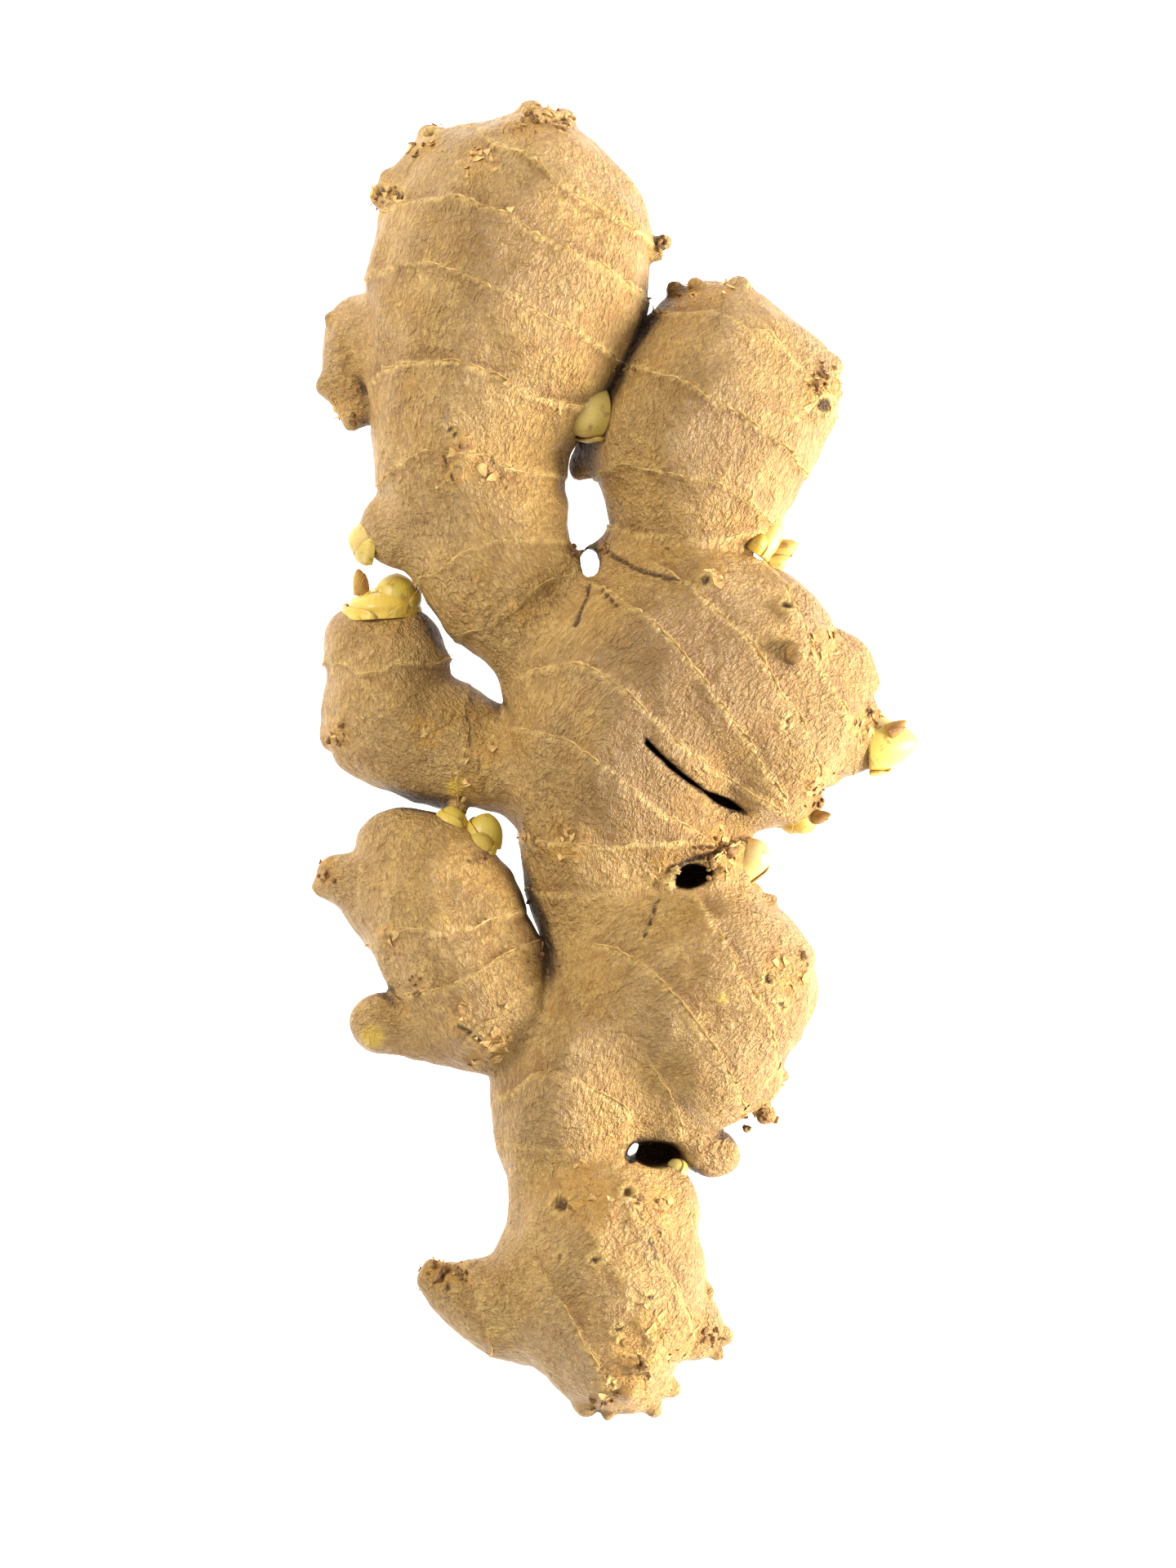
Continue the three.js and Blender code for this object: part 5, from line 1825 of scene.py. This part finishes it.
# Each bud: where it leaves the skin, where it points, its size, and how green, dry or pink it is.
buds = {
    "bud_in_gap": {
        "base": (-3.6, 43, 17.8), "toward": (-0.82, 0.02, 0.55), "length": 3.8, "radius": 3.7,
        "sunk": 0.6, "blunt": 3.6, "green": 0.4, "dry": 0, "pink": 0,
        "core": 0.2, "pale": 0.6, "turn": 100,
        "scales": [(0.62, 110, 1.06)],
    },
    "bud_neck_knob": {
        "base": (-30.8, 27.2, 14.4), "toward": (-1, 0.12, 0.1), "length": 3.3, "radius": 2.7,
        "sunk": 0.7, "blunt": 2.6, "green": 0.2, "dry": 0, "pink": 0,
        "core": 0.3, "pale": 0.6, "turn": 70,
        "scales": [(0.9, 75, 1.06), (0.75, 70, 1.1)],
    },
    "bud_left_collar": {
        "base": (-29.2, 18.5, 10.9), "toward": (-0.06, 1, 0.05), "length": 3.7, "radius": 4.3,
        "sunk": 0.6, "blunt": 3.6, "green": 0.1, "dry": 0, "pink": 0,
        "core": 0, "pale": 0.25, "turn": 250,
        "scales": [(0.92, 120, 1.04), (0.7, 110, 1.1), (0.55, 95, 1.16)],
    },
    "bud_left_dome": {
        "base": (-27.6, 20, 11.6), "toward": (0.05, 1, 0.08), "length": 4, "radius": 3,
        "sunk": 0.6, "blunt": 3, "green": 0.45, "dry": 0, "pink": 0,
        "core": 0, "pale": 0.1, "turn": 60,
        "scales": [(0.72, 120, 1.05)],
    },
    "bud_left_paper": {
        "base": (-31.9, 21.1, 11.2), "toward": (-0.1, 1, 0.2), "length": 3.2, "radius": 1,
        "sunk": 0.3, "blunt": 3, "green": 0, "dry": 1, "pink": 0,
        "core": 1, "pale": 0, "turn": 0,
        "scales": [(0.8, 100, 1.1)],
    },
    "bud_thumb_left": {
        "base": (-20.7, -7.5, 15), "toward": (0.05, 1, 0.05), "length": 3.2, "radius": 2.3,
        "sunk": 0.8, "blunt": 2.6, "green": 0.35, "dry": 0, "pink": 0,
        "core": 0, "pale": 0.1, "turn": 200,
        "scales": [(0.85, 110, 1.06)],
    },
    "bud_thumb_right": {
        "base": (-16.8, -9.1, 15), "toward": (0.2, 0.98, 0.1), "length": 4, "radius": 2.6,
        "sunk": 0.9, "blunt": 2.8, "green": 0.45, "dry": 0, "pink": 0,
        "core": 0, "pale": 0.1, "turn": 150,
        "scales": [(0.8, 110, 1.06)],
    },
    "bud_thumb_inner": {
        "base": (-17.2, -10.1, 16.8), "toward": (0.2, 0.7, 0.6), "length": 2.7, "radius": 2,
        "sunk": 0.8, "blunt": 2.8, "green": 0.45, "dry": 0, "pink": 0,
        "core": 0.3, "pale": 0, "turn": 0,
        "scales": [(0.7, 100, 1.08)],
    },
    "bud_corner": {
        "base": (17, 26.6, 13.2), "toward": (0.62, 0.78, 0), "length": 5.3, "radius": 2.3,
        "sunk": 0.9, "blunt": 2.4, "green": 0, "dry": 0, "pink": 0,
        "core": 0, "pale": 0.9, "turn": 120,
        "scales": [(0.8, 95, 1.05)],
    },
    "bud_corner_side": {
        "base": (18.5, 25.9, 12.6), "toward": (0.95, 0.3, 0.05), "length": 4.2, "radius": 1.5,
        "sunk": 0.7, "blunt": 2.6, "green": 0, "dry": 0.45, "pink": 0,
        "core": 0.3, "pale": 0.5, "turn": 20,
        "scales": [(0.75, 95, 1.08)],
    },
    "bud_corner_low": {
        "base": (18.4, 24.9, 12.2), "toward": (0.8, -0.1, 0.1), "length": 3, "radius": 1.4,
        "sunk": 0.7, "blunt": 3, "green": 0, "dry": 0.1, "pink": 0,
        "core": 0, "pale": 0.9, "turn": 20,
        "scales": [(0.7, 95, 1.08)],
    },
    "bud_corner_front": {
        "base": (16.6, 26.6, 16.4), "toward": (0.5, 0.75, 0.3), "length": 2.3, "radius": 1.3,
        "sunk": 0.6, "blunt": 2.6, "green": 0.05, "dry": 0.25, "pink": 0,
        "core": 0.2, "pale": 0, "turn": 70,
        "scales": [(0.7, 95, 1.08)],
    },
    "bud_right_stub": {
        "base": (31.3, 2.4, 12.4), "toward": (1, 0.06, 0.02), "length": 6.3, "radius": 3.95,
        "sunk": 1, "blunt": 1.5, "green": 0, "dry": 0, "pink": 0,
        "core": 0.12, "pale": 0.6, "turn": 80,
        "scales": [(0.55, 110, 1.05)],
    },
    "bud_right_scale": {
        "base": (33.2, 4.2, 14.9), "toward": (0.9, 0.5, 0.15), "length": 2.6, "radius": 1,
        "sunk": 0.5, "blunt": 1.6, "green": 0, "dry": 1, "pink": 0,
        "core": 1, "pale": 0, "turn": 0,
        "scales": [(0.8, 100, 1.1)],
    },
    "bud_lower_knob": {
        "base": (21.6, -6.1, 11.4), "toward": (0.6, -0.62, 0), "length": 4.2, "radius": 2.5,
        "sunk": 1.2, "blunt": 2.8, "green": 0, "dry": 0, "pink": 0,
        "core": 0.2, "pale": 0.3, "turn": 30,
        "scales": [(0.7, 110, 1.06)],
    },
    "bud_lower_scale": {
        "base": (24.2, -6.5, 12.6), "toward": (0.6, 0.1, 0.3), "length": 2.2, "radius": 0.9,
        "sunk": 0.4, "blunt": 1.6, "green": 0, "dry": 1, "pink": 0,
        "core": 1, "pale": 0, "turn": 0,
        "scales": [(0.8, 100, 1.1)],
    },
    "bud_hollow": {
        "base": (14.5, -12.7, 13.2), "toward": (0.78, 0.62, 0.08), "length": 5.4, "radius": 2.5,
        "sunk": 1, "blunt": 6, "green": 0, "dry": 0, "pink": 0.2,
        "core": 0.1, "pale": 1, "turn": 60,
        "scales": [(0.93, 80, 1.05)],
    },
    "bud_in_foot_hollow": {
        "base": (6.8, -49.7, 12), "toward": (-0.3, 0.8, 0.6), "length": 2, "radius": 1.4,
        "sunk": 0.6, "blunt": 2.4, "green": 0.8, "dry": 0, "pink": 0,
        "core": 0.3, "pale": 0.4, "turn": 0,
        "scales": [(0.7, 95, 1.06)],
    },
    "bud_lower_finger": {
        "base": (22.8, -28, 11.8), "toward": (1, 0.1, 0.1), "length": 2.1, "radius": 1.7,
        "sunk": 0.6, "blunt": 2.4, "green": 0, "dry": 0, "pink": 0.85,
        "core": 0, "pale": 0.6, "turn": 0,
        "scales": [(0.7, 95, 1.06)],
    },
}


class Shells:
    def __init__(self):
        self.points, self.faces = [], []
        self.values = {name: [] for name in ("tip", "margin", "green", "dry", "pink", "pale", "budGrain")}
        self.count = 0

    def add(self, outer, inner, values):
        rows, columns = outer.shape[:2]
        start = self.count
        back = start + rows * columns

        def at(i, j, layer):
            return (back if layer else start) + i * columns + j

        for i in range(rows - 1):
            for j in range(columns - 1):
                self.faces.append((at(i, j, 0), at(i, j + 1, 0), at(i + 1, j + 1, 0), at(i + 1, j, 0)))
                self.faces.append((at(i, j, 1), at(i + 1, j, 1), at(i + 1, j + 1, 1), at(i, j + 1, 1)))
        for j in range(columns - 1):
            self.faces.append((at(0, j, 1), at(0, j + 1, 1), at(0, j + 1, 0), at(0, j, 0)))
            last = rows - 1
            self.faces.append((at(last, j, 0), at(last, j + 1, 0), at(last, j + 1, 1), at(last, j, 1)))
        for i in range(rows - 1):
            self.faces.append((at(i, 0, 0), at(i + 1, 0, 0), at(i + 1, 0, 1), at(i, 0, 1)))
            end = columns - 1
            self.faces.append((at(i, end, 1), at(i + 1, end, 1), at(i + 1, end, 0), at(i, end, 0)))
        self.points += [outer.reshape(-1, 3), inner.reshape(-1, 3)]
        self.count += 2 * rows * columns
        for name, value in values.items():
            flat = np.asarray(value, float).reshape(rows * columns, -1)
            self.values[name] += [flat, flat]

    def build(self, name):
        thing = meshObject(name, np.vstack(self.points), self.faces)
        for key, parts in self.values.items():
            values = np.vstack(parts)
            giveValues(thing, key, values if values.shape[1] == 3 else values[:, 0])
        return thing


def budFrame(toward):
    along = np.array(toward, float)
    along /= np.linalg.norm(along)
    side = np.cross(along, (0.05, 0.02, 1.0))
    side /= np.linalg.norm(side)
    return along, side, np.cross(along, side)


def budRadius(v, blunt):
    return np.power(np.clip(1 - np.power(v, blunt), 0, 1), 0.62)


def budPart(shells, bud, base, frame, arc, reach, lift, blunt, edge, seed):
    along, side, other = frame
    rows, columns = 17, 19
    v = np.linspace(0, 1, rows)[:, None] * np.ones((1, columns))
    u = np.ones((rows, 1)) * np.linspace(-1, 1, columns)[None, :]
    middle_, half = arc
    narrow = np.power(np.clip(1 - v**edge, 0.0, 1), 0.55) * 0.97 + 0.03
    angle = middle_ + half * u * narrow
    height = reach * v * (1 - 0.10 * u**2)
    radius = bud["radius"] * budRadius(np.clip(height, 0, 0.985), blunt) * lift
    around = np.stack([np.cos(angle), np.sin(angle), 2.5 * height], -1).reshape(-1, 3)
    wobble = noiseAt(around, 0.55, seed)
    radius = radius * (1 + 0.05 * wobble.reshape(rows, columns))
    flare = 0.10 * v**3 * bud["radius"] * (lift - 0.9)

    def placed(extra):
        r = radius + flare + extra
        out = np.cos(angle)[..., None] * side + np.sin(angle)[..., None] * other
        return base + out * r[..., None] + along * (height * bud["length"])[..., None]

    margin = np.maximum(np.abs(u), v) ** 6
    values = {
        "tip": height,
        "margin": margin,
        "green": np.full(v.shape, bud["green"]) * (1 - 0.5 * height),
        "dry": np.full(v.shape, bud["dry"]),
        "pink": np.full(v.shape, bud["pink"]),
        "pale": np.full(v.shape, bud["pale"]),
        "budGrain": np.stack([np.cos(angle), height, np.sin(angle)], -1),
    }
    shells.add(placed(0.0), placed(-0.22), values)


def budCore(shells, bud, base, frame):
    along, side, other = frame
    rows, columns = 20, 33
    v = np.linspace(0, 1, rows)[:, None] * np.ones((1, columns))
    angle = np.ones((rows, 1)) * np.linspace(0, 2 * math.pi, columns)[None, :]
    radius = bud["radius"] * 0.93 * budRadius(np.clip(v, 0, 0.995), bud["blunt"])
    out = np.cos(angle)[..., None] * side + np.sin(angle)[..., None] * other
    points = base + out * radius[..., None] + along * (v * bud["length"])[..., None]
    ring = points[:, :-1].reshape(-1, 3)
    start = shells.count
    step = columns - 1
    for i in range(rows - 1):
        for j in range(step):
            a, b = start + i * step + j, start + i * step + (j + 1) % step
            shells.faces.append((a, b, b + step, a + step))
    shells.faces.append(tuple(start + j for j in reversed(range(step))))
    shells.faces.append(tuple(start + (rows - 1) * step + j for j in range(step)))
    shells.points.append(ring)
    shells.count += len(ring)
    height = v[:, :-1].reshape(-1, 1)
    grain = np.stack([np.cos(angle), v, np.sin(angle)], -1)[:, :-1].reshape(-1, 3)
    for name, value in (("tip", height), ("margin", height * 0), ("green", height * 0 + bud["green"])):
        shells.values[name].append(value)
    shells.values["dry"].append(height * 0 + bud["core"])
    shells.values["pink"].append(height * 0 + bud["pink"])
    shells.values["pale"].append(height * 0 + bud["pale"])
    shells.values["budGrain"].append(grain)


def budPiece(name, bud):
    frame_ = budFrame(bud["toward"])
    base = np.array(bud["base"], float) - frame_[0] * bud["sunk"]
    shells = Shells()
    budCore(shells, bud, base, frame_)
    turn = math.radians(bud["turn"])
    for number, (reach, half, lift) in enumerate(bud["scales"]):
        arc = (turn + number * math.radians(137), math.radians(half))
        budPart(shells, bud, base, frame_, arc, reach, lift, bud["blunt"], 3.2, 60 + number)
    piece = shells.build(name)
    piece.data.materials.append(budSkin)
    joinBody(piece)
    return piece


for name, bud in buds.items():
    budPiece(name, bud)

bpy.context.scene.view_settings.view_transform = "Standard"

print("stage")
stageLook = {
    "floor": (0.92, 0.92, 0.92, 1),
    "floorReach": 900,
    "glow": 1.2,
    "background": (1, 1, 1, 1),
    "backgroundStrength": 0.66,
}


def plainMaterial(name, colour, roughness, glow):
    material = bpy.data.materials.new(name)
    material.use_nodes = True
    shader = material.node_tree.nodes["Principled BSDF"]
    shader.inputs["Base Color"].default_value = colour
    shader.inputs["Roughness"].default_value = roughness
    shader.inputs["Emission Color"].default_value = (1, 1, 1, 1)
    shader.inputs["Emission Strength"].default_value = glow
    return material


def areaLight(name, place, aim, size, power, colour):
    lamp = bpy.data.lights.new(name, "AREA")
    lamp.shape = "DISK"
    lamp.size = size
    lamp.energy = power
    lamp.color = colour
    thing = bpy.data.objects.new(name, lamp)
    thing.location = place
    thing.rotation_euler = (Vector(aim) - Vector(place)).to_track_quat("-Z", "Y").to_euler()
    bpy.context.scene.collection.objects.link(thing)
    return thing


reach = stageLook["floorReach"]
corners = [(-reach, -reach, 0), (reach, -reach, 0), (reach, reach, 0), (-reach, reach, 0)]
floor = meshObject("floor", corners, [(0, 1, 2, 3)])
floor.data.materials.append(plainMaterial("floor", stageLook["floor"], 0.9, stageLook["glow"]))
middle = (0, 0, 0.012)
lamps = [
    areaLight("side light", (0.60, -0.14, 0.085), middle, 0.30, 12.5, (1.0, 0.98, 0.95)),
    areaLight("front light", (-0.38, 0.30, 0.40), middle, 0.28, 3.0, (1.0, 0.99, 0.97)),
]
world = bpy.data.worlds.new("studio")
world.use_nodes = True
world.node_tree.nodes["Background"].inputs[0].default_value = stageLook["background"]
world.node_tree.nodes["Background"].inputs[1].default_value = stageLook["backgroundStrength"]
bpy.context.scene.world = world

camera = bpy.data.cameras.new("camera")
cameraHeight = 0.9
camera.sensor_width = 36
camera.lens = 36 * (cameraHeight - 0.014) / 0.192
camera.clip_start = 0.05
camera.clip_end = 5
cameraObject = bpy.data.objects.new("camera", camera)
cameraObject.location = (-0.0040, -0.0025, cameraHeight)
bpy.context.scene.collection.objects.link(cameraObject)
bpy.context.scene.camera = cameraObject
